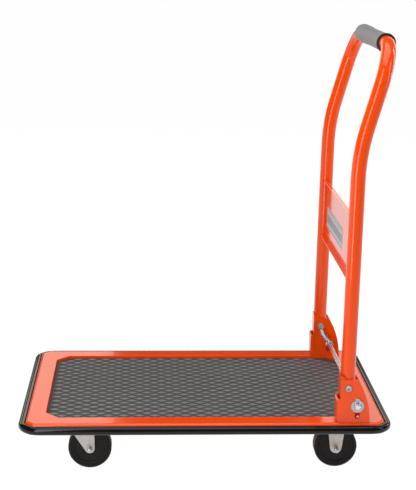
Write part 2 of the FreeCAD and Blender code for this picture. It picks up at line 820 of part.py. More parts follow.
def make_wheel(name, x, y):
    """Tyre and hub turned about the axle, which runs along Y."""
    outer, width = p.wheel_diameter / 2, p.wheel_width / 2
    hub, boss, hub_half = outer - p.tyre_wall, p.hub_boss_diameter / 2, hub_width / 2
    shoulder, rim, web = p.tyre_shoulder, p.hub_rim, p.hub_web / 2
    tyre = turned(f"tyre_{name}",
                  [(hub, -width), (outer - shoulder, -width), (outer, shoulder - width),
                   (outer, width - shoulder), (outer - shoulder, width), (hub, width)],
                  {1: shoulder, 3: shoulder})
    node(place(tyre, x, y, axle_z, (ALONG_Y, 90)))
    bore = p.axle_diameter / 2 + p.axle_running
    inset = width - p.hub_inset
    core = turned(f"hub_{name}",
                  [(bore, -hub_half), (boss, -hub_half), (boss, -web), (hub - rim, -web), (hub - rim, -inset),
                   (hub, -inset), (hub, inset), (hub - rim, inset), (hub - rim, web), (boss, web),
                   (boss, hub_half), (bore, hub_half)])
    node(place(core, x, y, axle_z, (ALONG_Y, 90)))


def make_axle(name, x, y, side):
    """Axle bolt with a flat round head outside and a hexagon nut inside."""
    bolt = new_body(f"axle_{name}")
    head, shank = p.axle_head_diameter / 2, p.axle_diameter / 2
    length = 2 * fork_half + p.axle_nut_height + p.bolt_end
    half = [(0, 0), (0, -length), (shank, -length), (shank, 0), (head, 0), (head, p.axle_head_height / 2),
            (head / 2, p.axle_head_height), (0, p.axle_head_height)]
    revolve(outline(sketch_on(bolt, "XZ_Plane", "half"), half), "Z_Axis")
    node(place(bolt, x, y + side * fork_half, axle_z, (ALONG_Y, -90 * side)))
    nut = new_body(f"axle_nut_{name}")
    pad(hexagon(sketch_on(nut, "XY_Plane", "flats"), p.axle_nut_flats), p.axle_nut_height)
    pocket(circle(sketch_on(nut, "XY_Plane", "bore"), p.axle_diameter), back=True)
    node(place(nut, x, y - side * fork_half, axle_z, (ALONG_Y, 90 * side)))


def open_fork(body, top):
    """Clear the room for the wheel between the cheeks and drill the axle hole."""
    inside = fork_half - p.fork_sheet
    room = sketch_on(body, "YZ_Plane", "room")
    rectangle(room, -inside, inside, -p.wheel_diameter / 2, top - p.fork_sheet)
    pocket(room, p.deck_length, both=True)
    hole = circle(sketch_on(body, "XZ_Plane", "axle_hole"), p.axle_diameter + 2 * p.axle_running)
    pocket(hole, p.deck_width, both=True)


def make_fixed_fork(name, x, y):
    """Pressed fork with its own mounting plate, origin at the axle."""
    body = new_body(name)
    top = plate_low - axle_z
    low, high = p.fixed_fork_round, p.fixed_fork_top / 2
    sides = outline(sketch_on(body, "XZ_Plane", "side"), [(-low, 0), (low, 0), (high, top), (-high, top)],
                    {0: low * ALMOST_HALF_ROUND})
    pad(sides, 2 * fork_half, both=True)
    open_fork(body, top + p.fork_sheet)
    half_x, half_y = p.plate_length / 2, p.plate_width / 2
    pad(rectangle(sketch_on(body, "XY_Plane", "plate", top), -half_x, half_x, -half_y, half_y), p.plate_sheet)
    fillet(body, p.fork_sheet * 2, lambda e: lies(e, x=half_x.value, y=half_y.value))
    plate_holes(body, "holes", top + p.plate_sheet / 2, 0)
    node(place(body, x, y, axle_z))


def make_swivel_fork(name, x, y):
    """Pressed fork under a round crown whose middle leads the axle by the trail, origin at the axle."""
    body = new_body(name)
    low = p.swivel_fork_round
    top = crown_top - axle_z
    slope = p.swivel_fork_slope
    start_x, start_z = -low * cosine(slope), -low * sine(slope)
    front = start_x - (top - start_z) * tangent(slope)
    sides = outline(sketch_on(body, "XZ_Plane", "side"),
                    [(start_x, start_z), (low, 0), (p.swivel_fork_back, top), (front, top)], {0: low})
    pad(sides, 2 * fork_half, both=True)
    open_fork(body, top)
    crown = circle(sketch_on(body, "XY_Plane", "crown", top - p.fork_sheet),
                   p.crown_diameter, -p.swivel_trail, 0)
    pad(crown, p.fork_sheet)
    hole = circle(sketch_on(body, "XY_Plane", "kingpin_hole"), p.kingpin_diameter + 2 * p.kingpin_running,
                  -p.swivel_trail, 0)
    pocket(hole, back=True)
    node(place(body, x, y, axle_z))


def make_swivel_mount(side_name, y):
    """What stays on the deck above a swivelling fork: mounting plate, ball race and kingpin."""
    half_x, half_y = p.plate_length / 2, p.plate_width / 2
    x = swivel_x
    plate = new_body(f"swivel_plate_{side_name}")
    pad(rectangle(sketch_on(plate, "XY_Plane", "outer"), -half_x, half_x, -half_y, half_y), p.plate_sheet)
    fillet(plate, p.fork_sheet * 2, lambda e: lies(e, x=half_x.value, y=half_y.value))
    pocket(circle(sketch_on(plate, "XY_Plane", "kingpin_hole"), p.kingpin_diameter), back=True)
    plate_holes(plate, "holes", p.plate_sheet / 2, 0)
    node(place(plate, x, y, plate_low))
    deep = p.race_depth
    outer, inner, groove = p.race_diameter / 2, p.kingpin_diameter / 2, p.race_groove
    race = turned(f"swivel_race_{side_name}",
                  [(inner, 0), (outer - groove, 0), (outer, groove), (outer - groove, deep / 2),
                   (outer, deep - groove / 2), (outer, deep), (inner, deep)])
    node(place(race, x, y, crown_top + p.race_gap))
    head = p.kingpin_head / 2
    under = -p.fork_sheet - p.kingpin_gap
    tall = plate_low + p.plate_sheet - crown_top
    kingpin = turned(f"kingpin_{side_name}",
                     [(0, under - p.kingpin_head_height), (head / 2, under - p.kingpin_head_height),
                      (head, under), (inner, under), (inner, tall), (0, tall)])
    node(place(kingpin, x, y, crown_top))


def make_caster_fasteners():
    """The sixteen bolts and nuts that hold the four mounting plates under the rails."""
    bolts = []
    nuts = []
    for x in (swivel_x, fixed_axle_x):
        for side in (-1, 1):
            for dx in (-1, 1):
                for dy in (-1, 1):
                    at = (x + dx * p.plate_hole_x / 2, side * wheel_across + dy * p.plate_hole_y / 2)
                    bolts.append(caster_bolt(len(bolts), *at))
                    nuts.append(caster_nut(len(nuts), *at))
    for name, group in (("caster_bolts", bolts), ("caster_nuts", nuts)):
        gathered = doc.addObject("Part::Compound", name)
        gathered.Label = name
        gathered.Links = group
        doc.recompute()
        node(place(gathered))


def caster_bolt(number, x, y):
    head = doc.addObject("Part::Prism", f"caster_bolt_head_{number}")
    head.Polygon = 6
    bind(head, "Circumradius", p.caster_bolt_head / 2)
    bind(head, "Height", p.caster_bolt_head_height)
    place(head, x, y, plate_low - p.caster_bolt_head_height)
    shank = doc.addObject("Part::Cylinder", f"caster_bolt_shank_{number}")
    bind(shank, "Radius", p.caster_bolt_diameter / 2)
    bind(shank, "Height", p.plate_sheet + p.rail_sheet + p.caster_nut_height + p.caster_bolt_end)
    place(shank, x, y, plate_low)
    bolt = doc.addObject("Part::Fuse", f"caster_bolt_{number}")
    bolt.Base, bolt.Tool = head, shank
    return bolt


def caster_nut(number, x, y):
    block = doc.addObject("Part::Prism", f"caster_nut_block_{number}")
    block.Polygon = 6
    bind(block, "Circumradius", p.caster_nut_flats / math.sqrt(3))
    bind(block, "Height", p.caster_nut_height)
    place(block, x, y, rail_low + p.rail_sheet)
    bore = doc.addObject("Part::Cylinder", f"caster_nut_bore_{number}")
    bind(bore, "Radius", p.caster_bolt_diameter / 2)
    bind(bore, "Height", p.caster_nut_height)
    place(bore, x, y, rail_low + p.rail_sheet)
    nut = doc.addObject("Part::Cut", f"caster_nut_{number}")
    nut.Base, nut.Tool = block, bore
    return nut


# ---- the whole cart -----------------------------------------------------------------------------

make_deck_pan()
make_mat()
make_bumper()
make_rail("rail_swivel_end", p.rail_width, swivel_x)
make_rail("rail_middle", p.centre_rail_width, as_size(0))
make_rail("rail_handle_end", p.rail_width, fixed_axle_x)
make_handle_tube()
make_grip()
make_panel()
make_foot_bar()
make_caster_fasteners()
for side_name, side in SIDES.items():
    make_bracket(f"bracket_{side_name}", side)
    make_pivot_bolt(side_name, side)
    make_stop_rivet(side_name, side)
    make_channel(f"channel_{side_name}", side)
    make_bar_fittings(side_name, side)
    make_spring(side_name, side)
    wheel_y = side * wheel_across
    make_fixed_fork(f"fixed_fork_{side_name}", fixed_axle_x, wheel_y)
    make_swivel_fork(f"swivel_fork_{side_name}", swivel_axle_x, wheel_y)
    make_swivel_mount(side_name, wheel_y)
    for end, x in (("fixed", fixed_axle_x), ("swivel", swivel_axle_x)):
        make_wheel(f"{end}_{side_name}", x, wheel_y)
        make_axle(f"{end}_{side_name}", x, wheel_y, side)

doc.recompute()
for item in doc.Objects:
    assert not {"Invalid", "Error"} & set(item.State), f"{item.Label}: {item.State}"
for part in NODES:
    assert not part.Shape.isNull() and part.Shape.isValid(), part.Label
for part in NODES:
    part.Shape.exportStep(f"parts/{part.Label}.step")
print(len(NODES), "sub-parts")
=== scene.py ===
import json
import math

import bmesh
import bpy
from mathutils import Matrix, Vector, noise


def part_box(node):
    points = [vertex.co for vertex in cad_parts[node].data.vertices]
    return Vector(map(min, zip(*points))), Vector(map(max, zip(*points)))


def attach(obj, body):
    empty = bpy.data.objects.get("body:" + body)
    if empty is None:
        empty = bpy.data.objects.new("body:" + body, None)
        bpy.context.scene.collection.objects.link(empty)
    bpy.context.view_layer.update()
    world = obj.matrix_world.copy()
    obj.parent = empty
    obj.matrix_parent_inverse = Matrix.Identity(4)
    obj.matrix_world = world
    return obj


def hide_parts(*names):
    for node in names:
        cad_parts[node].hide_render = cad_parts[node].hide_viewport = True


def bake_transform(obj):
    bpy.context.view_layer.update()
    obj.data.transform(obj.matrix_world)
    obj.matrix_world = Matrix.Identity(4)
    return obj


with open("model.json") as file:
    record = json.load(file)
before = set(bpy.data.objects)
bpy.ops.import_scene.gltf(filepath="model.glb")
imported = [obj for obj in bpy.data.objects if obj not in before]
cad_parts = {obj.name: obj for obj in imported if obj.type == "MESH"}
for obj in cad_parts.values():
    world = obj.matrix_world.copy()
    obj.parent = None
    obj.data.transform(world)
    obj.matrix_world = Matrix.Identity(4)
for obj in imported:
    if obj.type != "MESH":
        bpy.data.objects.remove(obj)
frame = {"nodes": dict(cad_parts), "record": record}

# Folding platform cart. Metres, +X towards the handle, +Z up, the floor at Z = 0.
# Sizes below are in millimetres where MM multiplies them.

bpy.context.view_layer.update()

MM = 0.001
NODES = frame["nodes"]
SIDES = {"left": 1, "right": -1}


def middle(node):
    low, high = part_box(node)
    return (low + high) / 2


# ---- nodes, for materials and for geometry --------------------------------------------------------

class Socket:
    """The output of a node; arithmetic on it adds Math nodes to the same tree."""

    def __init__(self, tree, output):
        self.tree = tree
        self.output = output

    def math(self, operation, *others):
        return math_node(self.tree, operation, self, *others)

    def __add__(self, other):
        return self.math("ADD", other)

    def __radd__(self, other):
        return self.math("ADD", other)

    def __sub__(self, other):
        return self.math("SUBTRACT", other)

    def __rsub__(self, other):
        return math_node(self.tree, "SUBTRACT", other, self)

    def __mul__(self, other):
        return self.math("MULTIPLY", other)

    def __truediv__(self, other):
        return self.math("DIVIDE", other)

    def __pow__(self, other):
        return self.math("POWER", other)

    def __abs__(self):
        return self.math("ABSOLUTE")

    def above(self, limit):
        return self.math("GREATER_THAN", limit)

    def between(self, low, high):
        return self.above(low) * (1 - self.above(high))


def math_node(tree, operation, *values):
    return node(tree, "ShaderNodeMath", {"operation": operation}, dict(enumerate(values)))


def node(tree, kind, settings=None, sockets=None, output=0):
    """Add a node: its settings first, then the values or links of its sockets."""
    made = tree.nodes.new(kind)
    for name, value in (settings or {}).items():
        setattr(made, name, value)
    for key, value in (sockets or {}).items():
        if isinstance(value, Socket):
            tree.links.new(value.output, made.inputs[key])
        else:
            made.inputs[key].default_value = value
    return Socket(tree, made.outputs[output])


def vector(tree, x, y, z):
    return node(tree, "ShaderNodeCombineXYZ", sockets={0: x, 1: y, 2: z})


def parts_of(tree, value):
    """The X, Y and Z of a vector."""
    return [node(tree, "ShaderNodeSeparateXYZ", sockets={0: value}, output=i) for i in range(3)]


class Finish:
    """A material: its Principled shader and the patterns that feed it."""

    def __init__(self, name, **shader):
        self.material = bpy.data.materials.new(name)
        self.material.use_nodes = True
        self.tree = self.material.node_tree
        self.shader = self.tree.nodes["Principled BSDF"]
        for socket, value in shader.items():
            self.shader.inputs[socket.replace("_", " ")].default_value = value
        self.place = node(self.tree, "ShaderNodeTexCoord", output=3)

    def axes(self):
        return parts_of(self.tree, self.place)

    def stretched(self, x, y, z):
        return node(self.tree, "ShaderNodeMapping", sockets={0: self.place, "Scale": (x, y, z)})

    def noise(self, scale, detail=2.0, roughness=0.5, place=None):
        sockets = {"Vector": place or self.place, "Scale": scale, "Detail": detail, "Roughness": roughness}
        return node(self.tree, "ShaderNodeTexNoise", sockets=sockets)

    def cells(self, scale, output=0):
        return node(self.tree, "ShaderNodeTexVoronoi", sockets={"Vector": self.place, "Scale": scale},
                    output=output)

    def mask(self, value, low, high):
        """0 below low, 1 above high and smooth between."""
        return node(self.tree, "ShaderNodeMapRange", {"interpolation_type": "SMOOTHSTEP"},
                    {0: value, 1: low, 2: high})

    def blend(self, factor, first, second):
        return node(self.tree, "ShaderNodeMix", {"data_type": "RGBA"}, {0: factor, 6: first, 7: second}, 2)

    def bump(self, height, distance, strength):
        return node(self.tree, "ShaderNodeBump",
                    sockets={"Height": height, "Distance": distance, "Strength": strength})

    def feed(self, **values):
        for socket, value in values.items():
            self.tree.links.new(value.output, self.shader.inputs[socket.replace("_", " ")])
        return self


def rgb(red, green, blue):
    return (red, green, blue, 1.0)


def grey(value):
    return rgb(value, value, value)


# ---- finishes -------------------------------------------------------------------------------------

def orange_paint():
    """Glossy powder coat: orange peel, a slow drift of depth and a few fine rub marks."""
    f = Finish("orange_paint", Coat_Weight=0.25, Coat_Roughness=0.03, IOR=1.5, Specular_IOR_Level=0.28)
    drift = f.noise(9, 3)
    base = f.blend(drift, rgb(0.84, 0.062, 0.0003), rgb(0.90, 0.076, 0.0005))
    rubs = f.mask(f.noise(60, 4, 0.6, f.stretched(0.12, 1.6, 1)), 0.63, 0.75)
    base = f.blend(rubs * 0.10, base, rgb(0.95, 0.20, 0.03))
    peel = f.noise(420, 2, 0.45)
    return f.feed(Base_Color=base, Roughness=0.12 + drift * 0.05 + rubs * 0.12,
                  Normal=f.bump(peel, 0.00004, 0.4))


def mat_rubber():
    """Moulded rubber: painted highlight on the lozenge tops, painted shade in the grooves, dust, fine grain
    and a painted orange reflection near the brackets.
    """
    f = Finish("mat_rubber", IOR=1.5)
    x, _, z = f.axes()
    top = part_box("mat")[1].z
    lit_tops = f.mask(z, top - 1.2 * MM, top - 0.1 * MM)
    dust = f.noise(14, 5, 0.6)
    # Painted light: the lozenge tops get a painted highlight and the grooves get painted shade.
    base = f.blend(lit_tops, grey(0.028), grey(0.175))
    base = f.blend(dust * 0.2, base, rgb(0.17, 0.17, 0.18))
    # Painted reflection: the rubber is tinted warmer towards the orange brackets, as their bounce light.
    warm = f.mask(x, 0.16, 0.30)
    base = f.blend(warm * 0.3, base, rgb(0.11, 0.075, 0.068))
    grain = f.noise(1500, 3, 0.7)
    return f.feed(Base_Color=base, Roughness=0.62 - lit_tops * 0.22 + dust * 0.12 + grain * 0.06,
                  Normal=f.bump(grain, 0.00012, 0.5))


def bumper_vinyl():
    """Glossy extruded vinyl, slightly wavy, with soft scuffs."""
    f = Finish("bumper_vinyl", IOR=1.5, Specular_IOR_Level=0.15, Coat_Weight=0.25, Coat_Roughness=0.04)
    waves = f.noise(45, 2)
    scuff = f.mask(f.noise(130, 5, 0.65), 0.57, 0.72)
    base = f.blend(scuff * 0.4, grey(0.005), rgb(0.022, 0.021, 0.023))
    return f.feed(Base_Color=base, Roughness=0.10 + scuff * 0.16 + waves * 0.04,
                  Normal=f.bump(waves, 0.0002, 0.3))


def black_paint():
    """Satin black paint on folded steel, with dust and a few chips."""
    f = Finish("black_paint", IOR=1.5)
    dust = f.noise(35, 5, 0.6)
    chips = f.mask(f.cells(260), 0.04, 0.09)
    base = f.blend(dust, grey(0.012), grey(0.034))
    base = f.blend(1 - chips, base, rgb(0.14, 0.135, 0.13))
    return f.feed(Base_Color=base, Roughness=0.34 + dust * 0.2,
                  Normal=f.bump(f.noise(600, 2), 0.00004, 0.4))


def grip_foam():
    """Closed-cell foam: small pores darkened with painted shade and a soft mottled bloom."""
    f = Finish("grip_foam", IOR=1.4, Sheen_Weight=0.25, Sheen_Roughness=0.5)
    bloom = f.noise(55, 4, 0.6)
    pores = f.mask(f.cells(1400), 0.12, 0.45)
    base = f.blend(bloom, rgb(0.130, 0.127, 0.124), rgb(0.180, 0.176, 0.172))
    # Painted shade: the pits of the pores are darkened.
    base = f.blend(1 - pores, base, grey(0.08))
    height = pores * 0.7 + f.noise(700, 3, 0.6) * 0.3
    return f.feed(Base_Color=base, Roughness=0.86 + bloom * 0.1, Normal=f.bump(height, 0.00015, 0.6))


def black_trim():
    """Moulded black plastic of small rings and end faces."""
    f = Finish("black_trim", IOR=1.5)
    mottle = f.noise(300, 3)
    base = f.blend(mottle, grey(0.006), grey(0.013))
    return f.feed(Base_Color=base, Roughness=0.38 + mottle * 0.15,
                  Normal=f.bump(f.noise(900, 2), 0.00005, 0.5))


def label_film():
    """Printed film with plain stripes: a thin line, a second line, a broad band and a foot line."""
    f = Finish("label_film", IOR=1.5, Specular_IOR_Level=0.3)
    _, y, z = f.axes()
    low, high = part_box("label_plate")
    up = (z - low.z) / (high.z - low.z)
    along = (y - low.y) / (high.y - low.y)
    block_count = 9
    inside = along.between(0.03, 0.97)
    lines = up.between(0.90, 0.95) + up.between(0.78, 0.82) + up.between(0.06, 0.12)
    band = up.between(0.26, 0.66)
    blocks = (along * block_count).math("FRACT").between(0.06, 0.94) * band
    ink = (lines + blocks) * inside
    fibre = f.noise(900, 3)
    base = f.blend(fibre, rgb(0.42, 0.43, 0.45), rgb(0.49, 0.50, 0.52))
    base = f.blend(ink * 0.9, base, rgb(0.07, 0.09, 0.11))
    return f.feed(Base_Color=base, Roughness=0.28 + fibre * 0.1, Normal=f.bump(ink, 0.00003, 0.4))


def zinc(name, base_light, base_dark, rough, spangle):
    """Zinc on steel: cloudy spangle, rolling lines and a little white bloom."""
    f = Finish(name, Metallic=0.65, IOR=1.5)
    cloud = f.noise(70, 5, 0.6)
    cell = node(f.tree, "ShaderNodeSeparateXYZ", sockets={0: f.cells(spangle, output=1)})
    rolled = f.noise(500, 2, 0.5, f.stretched(1, 1, 0.04))
    base = f.blend(cloud * 0.6 + cell * 0.4, base_dark, base_light)
    bloom = f.mask(f.noise(190, 5, 0.7), 0.60, 0.74)
    base = f.blend(bloom * 0.3, base, rgb(0.66, 0.65, 0.62))
    return f.feed(Base_Color=base, Roughness=rough + cloud * 0.12 + bloom * 0.2 + rolled * 0.06,
                  Normal=f.bump(rolled + cloud, 0.00004, 0.4))


def bright_metal(name, tone, rough, line_scale):
    """Plated bright metal with fine drawing lines and light fingerprints."""
    f = Finish(name, Metallic=1.0)
    marks = f.noise(120, 4, 0.6)
    lines = f.noise(line_scale, 2, 0.5, f.stretched(1, 0.05, 1))
    dulled = rgb(*(channel * 0.82 for channel in tone[:3]))
    base = f.blend(marks * 0.5, tone, dulled)
    return f.feed(Base_Color=base, Roughness=rough + marks * 0.10 + lines * 0.05,
                  Normal=f.bump(lines, 0.00002, 0.3))


def tyre_rubber():
    """Near-black rubber, slightly brown, with dust in its rings."""
    f = Finish("tyre_rubber", IOR=1.5, Specular_IOR_Level=0.2)
    dust = f.noise(60, 5, 0.65)
    base = f.blend(dust, rgb(0.0035, 0.0026, 0.0025), rgb(0.011, 0.0085, 0.008))
    grain = f.noise(1200, 3, 0.6)
    return f.feed(Base_Color=base, Roughness=0.33 + dust * 0.2 + grain * 0.06,
                  Normal=f.bump(grain, 0.00008, 0.5))


def hub_plastic():
    """Moulded plastic with a fine spark-eroded texture."""
    f = Finish("hub_plastic", IOR=1.5, Specular_IOR_Level=0.2)
    flow = f.noise(40, 4, 0.6)
    base = f.blend(flow, rgb(0.004, 0.003, 0.003), rgb(0.012, 0.0095, 0.009))
    return f.feed(Base_Color=base, Roughness=0.36 + flow * 0.16,
                  Normal=f.bump(f.noise(1500, 2), 0.00006, 0.5))


FINISHES = {
    "orange_paint": orange_paint(),
    "mat_rubber": mat_rubber(),
    "bumper_vinyl": bumper_vinyl(),
    "black_paint": black_paint(),
    "grip_foam": grip_foam(),
    "label_film": label_film(),
    "zinc_plate": zinc("zinc_plate", rgb(0.56, 0.54, 0.50), rgb(0.40, 0.388, 0.36), 0.36, 160),
    "zinc_fastener": zinc("zinc_fastener", rgb(0.56, 0.57, 0.58), rgb(0.36, 0.37, 0.385), 0.24, 420),
    "bright_wire": bright_metal("bright_wire", rgb(0.74, 0.75, 0.77), 0.20, 1500),
    "bar_chrome": bright_metal("bar_chrome", rgb(0.80, 0.81, 0.83), 0.18, 1900),
    "tyre_rubber": tyre_rubber(),
    "hub_plastic": hub_plastic(),
}
BLACK_TRIM = black_trim()


def skin(slot):
    """The material of a slot."""
    return FINISHES[slot].material


for part in frame["record"]["subparts"]:
    mesh = NODES[part["node"]].data
    mesh.materials.clear()
    mesh.materials.append(skin(part["material_slot"]))


# ---- making pieces --------------------------------------------------------------------------------

def piece(name, mesh, body, slot, stands_for=(), finish=None):
    """A finished mesh as a piece that rides on a CAD body."""
    mesh.materials.clear()
    mesh.materials.append(finish.material if finish else skin(slot))
    made = bpy.data.objects.new(name, mesh)
    bpy.context.scene.collection.objects.link(made)
    if body:
        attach(made, body)
    if stands_for:
        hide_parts(*stands_for)
    return made


def closed_mesh(name, verts, faces, smooth_below=35):
    """A mesh with its doubles merged, its faces outwards and its sharp edges marked."""
    shape = bmesh.new()
    made = [shape.verts.new(v) for v in verts]
    for face in faces:
        corners = [made[i] for i in face]
        if len(set(face)) == len(face):
            shape.faces.new(corners)
    bmesh.ops.remove_doubles(shape, verts=shape.verts, dist=1e-6)
    bmesh.ops.recalc_face_normals(shape, faces=shape.faces)
    mesh = bpy.data.meshes.new(name)
    shape.to_mesh(mesh)
    shape.free()
    mesh.shade_smooth()
    mesh.set_sharp_from_angle(angle=math.radians(smooth_below))
    return mesh


def joined(name, meshes):
    """Several meshes as one."""
    shape = bmesh.new()
    for mesh in meshes:
        shape.from_mesh(mesh)
        bpy.data.meshes.remove(mesh)
    mesh = bpy.data.meshes.new(name)
    shape.to_mesh(mesh)
    shape.free()
    return mesh


def rings_to_mesh(name, rings, closed_along=False, smooth_below=35):
    """A skin over equal rings of points, capped at both ends unless it closes on itself."""
    count = len(rings[0])
    verts = [v for ring in rings for v in ring]
    faces = []
    last = len(rings) if closed_along else len(rings) - 1
    for i in range(last):
        a, b = i * count, (i + 1) % len(rings) * count
        for j in range(count):
            k = (j + 1) % count
            faces.append((a + j, a + k, b + k, b + j))
    if not closed_along:
        faces.append(tuple(range(count)))
        faces.append(tuple(range(len(verts) - count, len(verts))))
    return closed_mesh(name, verts, faces, smooth_below)


def turned(name, centre, outline, axis="Y", steps=64, smooth_below=35):
    """A closed outline of (radius, distance along) points turned about an axis through centre."""
    rings = []
    for i in range(steps):
        angle = 2 * math.pi * i / steps
        across, up = math.cos(angle), math.sin(angle)
        if axis == "Y":
            rings.append([centre + Vector((r * across, d, r * up)) for r, d in outline])
        else:
            rings.append([centre + Vector((r * across, r * up, d)) for r, d in outline])
    return rings_to_mesh(name, rings, closed_along=True, smooth_below=smooth_below)


def wire(name, points, radius, sides=10):
    """A round wire along a list of points, with turned-over ends."""
    rings = []
    side = None
    for i, point in enumerate(points):
        ahead = points[min(i + 1, len(points) - 1)] - points[max(i - 1, 0)]
        ahead.normalize()
        if side is None:
            side = ahead.orthogonal().normalized()
        side = (side - ahead * side.dot(ahead)).normalized()
        other = ahead.cross(side)
        turns = [2 * math.pi * j / sides for j in range(sides)]
        rings.append([point + (side * math.cos(turn) + other * math.sin(turn)) * radius for turn in turns])
    return rings_to_mesh(name, rings, smooth_below=50)


def geometry_tree(name, inputs):
    """A Geometry Nodes tree with named size inputs. Returns the tree and its inputs as sockets."""
    tree = bpy.data.node_groups.new(name, "GeometryNodeTree")
    tree.interface.new_socket("Geometry", in_out="INPUT", socket_type="NodeSocketGeometry")
    for label, kind in inputs.items():
        tree.interface.new_socket(label, in_out="INPUT", socket_type=f"NodeSocket{kind}")
    tree.interface.new_socket("Geometry", in_out="OUTPUT", socket_type="NodeSocketGeometry")
    entry = tree.nodes.new("NodeGroupInput")
    return tree, {s.name: Socket(tree, s) for s in entry.outputs if s.name}


def end_tree(tree, geometry, finish):
    """Close a tree: real geometry, smooth shading and its finish."""
    real = node(tree, "GeometryNodeRealizeInstances", sockets={"Geometry": geometry})
    smooth = node(tree, "GeometryNodeSetShadeSmooth", sockets={"Geometry": real})
    done = node(tree, "GeometryNodeSetMaterial", sockets={"Geometry": smooth, "Material": finish})
    way_out = tree.nodes.new("NodeGroupOutput")
    tree.links.new(done.output, way_out.inputs[0])


def grown(name, tree, values, seed_mesh=None, smooth_below=40):
    """Run a tree on a seed mesh and return what it makes as a plain mesh."""
    seed = bpy.data.objects.new(f"{name}_seed", seed_mesh or bpy.data.meshes.new(f"{name}_seed"))
    bpy.context.scene.collection.objects.link(seed)
    modifier = seed.modifiers.new(tree.name, "NODES")
    modifier.node_group = tree
    for item in tree.interface.items_tree:
        if item.in_out == "INPUT" and item.name in values:
            modifier[item.identifier] = values[item.name]
    graph = bpy.context.evaluated_depsgraph_get()
    mesh = bpy.data.meshes.new_from_object(seed.evaluated_get(graph))
    seed.modifiers.remove(modifier)
    bpy.data.objects.remove(seed)
    mesh.name = name
    mesh.set_sharp_from_angle(angle=math.radians(smooth_below))
    return mesh


# ---- mat ------------------------------------------------------------------------------------------

def cut_ring(length, width, cut, z):
    """The eight corners of a rectangle with its corners cut off, at a height."""
    x, y = length / 2, width / 2
    return [Vector((px, py, z)) for px, py in
            ((x - cut, -y), (x, cut - y), (x, y - cut), (x - cut, y),
             (cut - x, y), (-x, y - cut), (-x, cut - y), (cut - x, -y))]


def lozenge_tree():
    """Soft lozenges in staggered rows over a plate, left out where the plate's corners are cut."""
    tree, given = geometry_tree("mat_lozenges", {
        "Length": "Float", "Width": "Float", "Corner Cut": "Float", "Column Pitch": "Float",
        "Row Pitch": "Float", "Columns": "Int", "Rows": "Int", "Long Diagonal": "Float",
        "Short Diagonal": "Float", "Height": "Float", "Floor": "Float", "Finish": "Material"})
    columns, rows = given["Columns"], given["Rows"]
    grid = node(tree, "GeometryNodeMeshGrid", sockets={
        0: given["Column Pitch"] * (columns - 1), 1: given["Row Pitch"] * (rows - 1), 2: columns, 3: rows})
    _, y, _ = parts_of(tree, node(tree, "GeometryNodeInputPosition"))
    row = y / given["Row Pitch"] + rows / 2
    odd = row.math("FLOOR").math("FLOORED_MODULO", 2)
    shift = vector(tree, (odd - 0.5) * given["Column Pitch"] / 2, 0.0, given["Floor"])
    spots = node(tree, "GeometryNodeSetPosition", sockets={"Geometry": grid, "Offset": shift})
    x, y, _ = parts_of(tree, node(tree, "GeometryNodeInputPosition"))
    ahead, across = abs(x) + given["Long Diagonal"] / 2, abs(y) + given["Short Diagonal"] / 2
    past = ahead.above(given["Length"] / 2) + across.above(given["Width"] / 2)
    corner = given["Length"] / 2 + given["Width"] / 2 - given["Corner Cut"]
    past = past + (abs(x) + abs(y) + given["Long Diagonal"] / 2).above(corner)
    kept = node(tree, "GeometryNodeDeleteGeometry", {"domain": "POINT"}, {0: spots, 1: past})
    patch = node(tree, "GeometryNodeMeshGrid", sockets={0: 2.0, 1: 2.0, 2: 7, 3: 7})
    a, b, _ = parts_of(tree, node(tree, "GeometryNodeInputPosition"))
    rise = (1 - a ** 4) * (1 - b ** 4) * given["Height"]
    shape = vector(tree, (a + b) * given["Long Diagonal"] / 4, (b - a) * given["Short Diagonal"] / 4, rise)
    lozenge = node(tree, "GeometryNodeSetPosition", sockets={"Geometry": patch, "Position": shape})
    instances = node(tree, "GeometryNodeInstanceOnPoints", sockets={"Points": kept, "Instance": lozenge})
    whole = node(tree, "GeometryNodeJoinGeometry", sockets={0: given["Geometry"]})
    tree.links.new(instances.output, whole.output.node.inputs[0])
    end_tree(tree, whole, given["Finish"])
    return tree


def make_mat():
    """A plate with a softened edge under rows of lozenges that fill it from border to border."""
    low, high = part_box("mat")
    length, width, corner_cut = high.x - low.x, high.y - low.y, 26 * MM
    columns, rows, border = 20, 31, 1 * MM
    long_way, short_way = 27 * MM, 16 * MM
    column_pitch = (length - 2 * border - long_way) / (columns - 0.5)
    row_pitch = (width - 2 * border - short_way) / (rows - 1)
    relief = 1.1 * MM
    floor = high.z - relief
    edge = 0.6 * MM
    inset_cut = corner_cut - edge * (2 - math.sqrt(2))
    rings = [cut_ring(length, width, corner_cut, low.z), cut_ring(length, width, corner_cut, floor - edge),
             cut_ring(length - edge, width - edge, (corner_cut + inset_cut) / 2, floor - 0.2 * edge),
             cut_ring(length - 2 * edge, width - 2 * edge, inset_cut, floor)]
    plate = rings_to_mesh("mat_plate", rings)
    mesh = grown("rubber_mat", lozenge_tree(), {
        "Length": length - border, "Width": width - border, "Corner Cut": corner_cut,
        "Column Pitch": column_pitch, "Row Pitch": row_pitch, "Columns": columns, "Rows": rows,
        "Long Diagonal": long_way, "Short Diagonal": short_way, "Height": relief,
        "Floor": floor - 0.02 * MM, "Finish": skin("mat_rubber")}, plate)
    piece("rubber_mat", mesh, "deck", "mat_rubber", ["mat"])


# ---- bumper ---------------------------------------------------------------------------------------

def bumper_section(width, height):
    """Outline of the extrusion: a flat lip over the deck's edge, a groove and a rounded nose."""
    lip, groove, bead = 5.0 * MM, 0.5 * MM, 0.8 * MM
    nose = lip + 4 * groove
    points = [(0, bead), (0, height - bead), (bead * 0.3, height - bead * 0.3), (bead, height),
              (lip, height), (lip + groove, height - groove * 0.6), (lip + 2 * groove, height - groove),
              (lip + 3 * groove, height - groove * 0.5)]
    for step in range(17):
        angle = math.radians(90 - 180 * step / 16)
        points.append((nose + (width - nose) * math.cos(angle), height / 2 * (1 + math.sin(angle))))
    points.append((bead, 0))
    return points


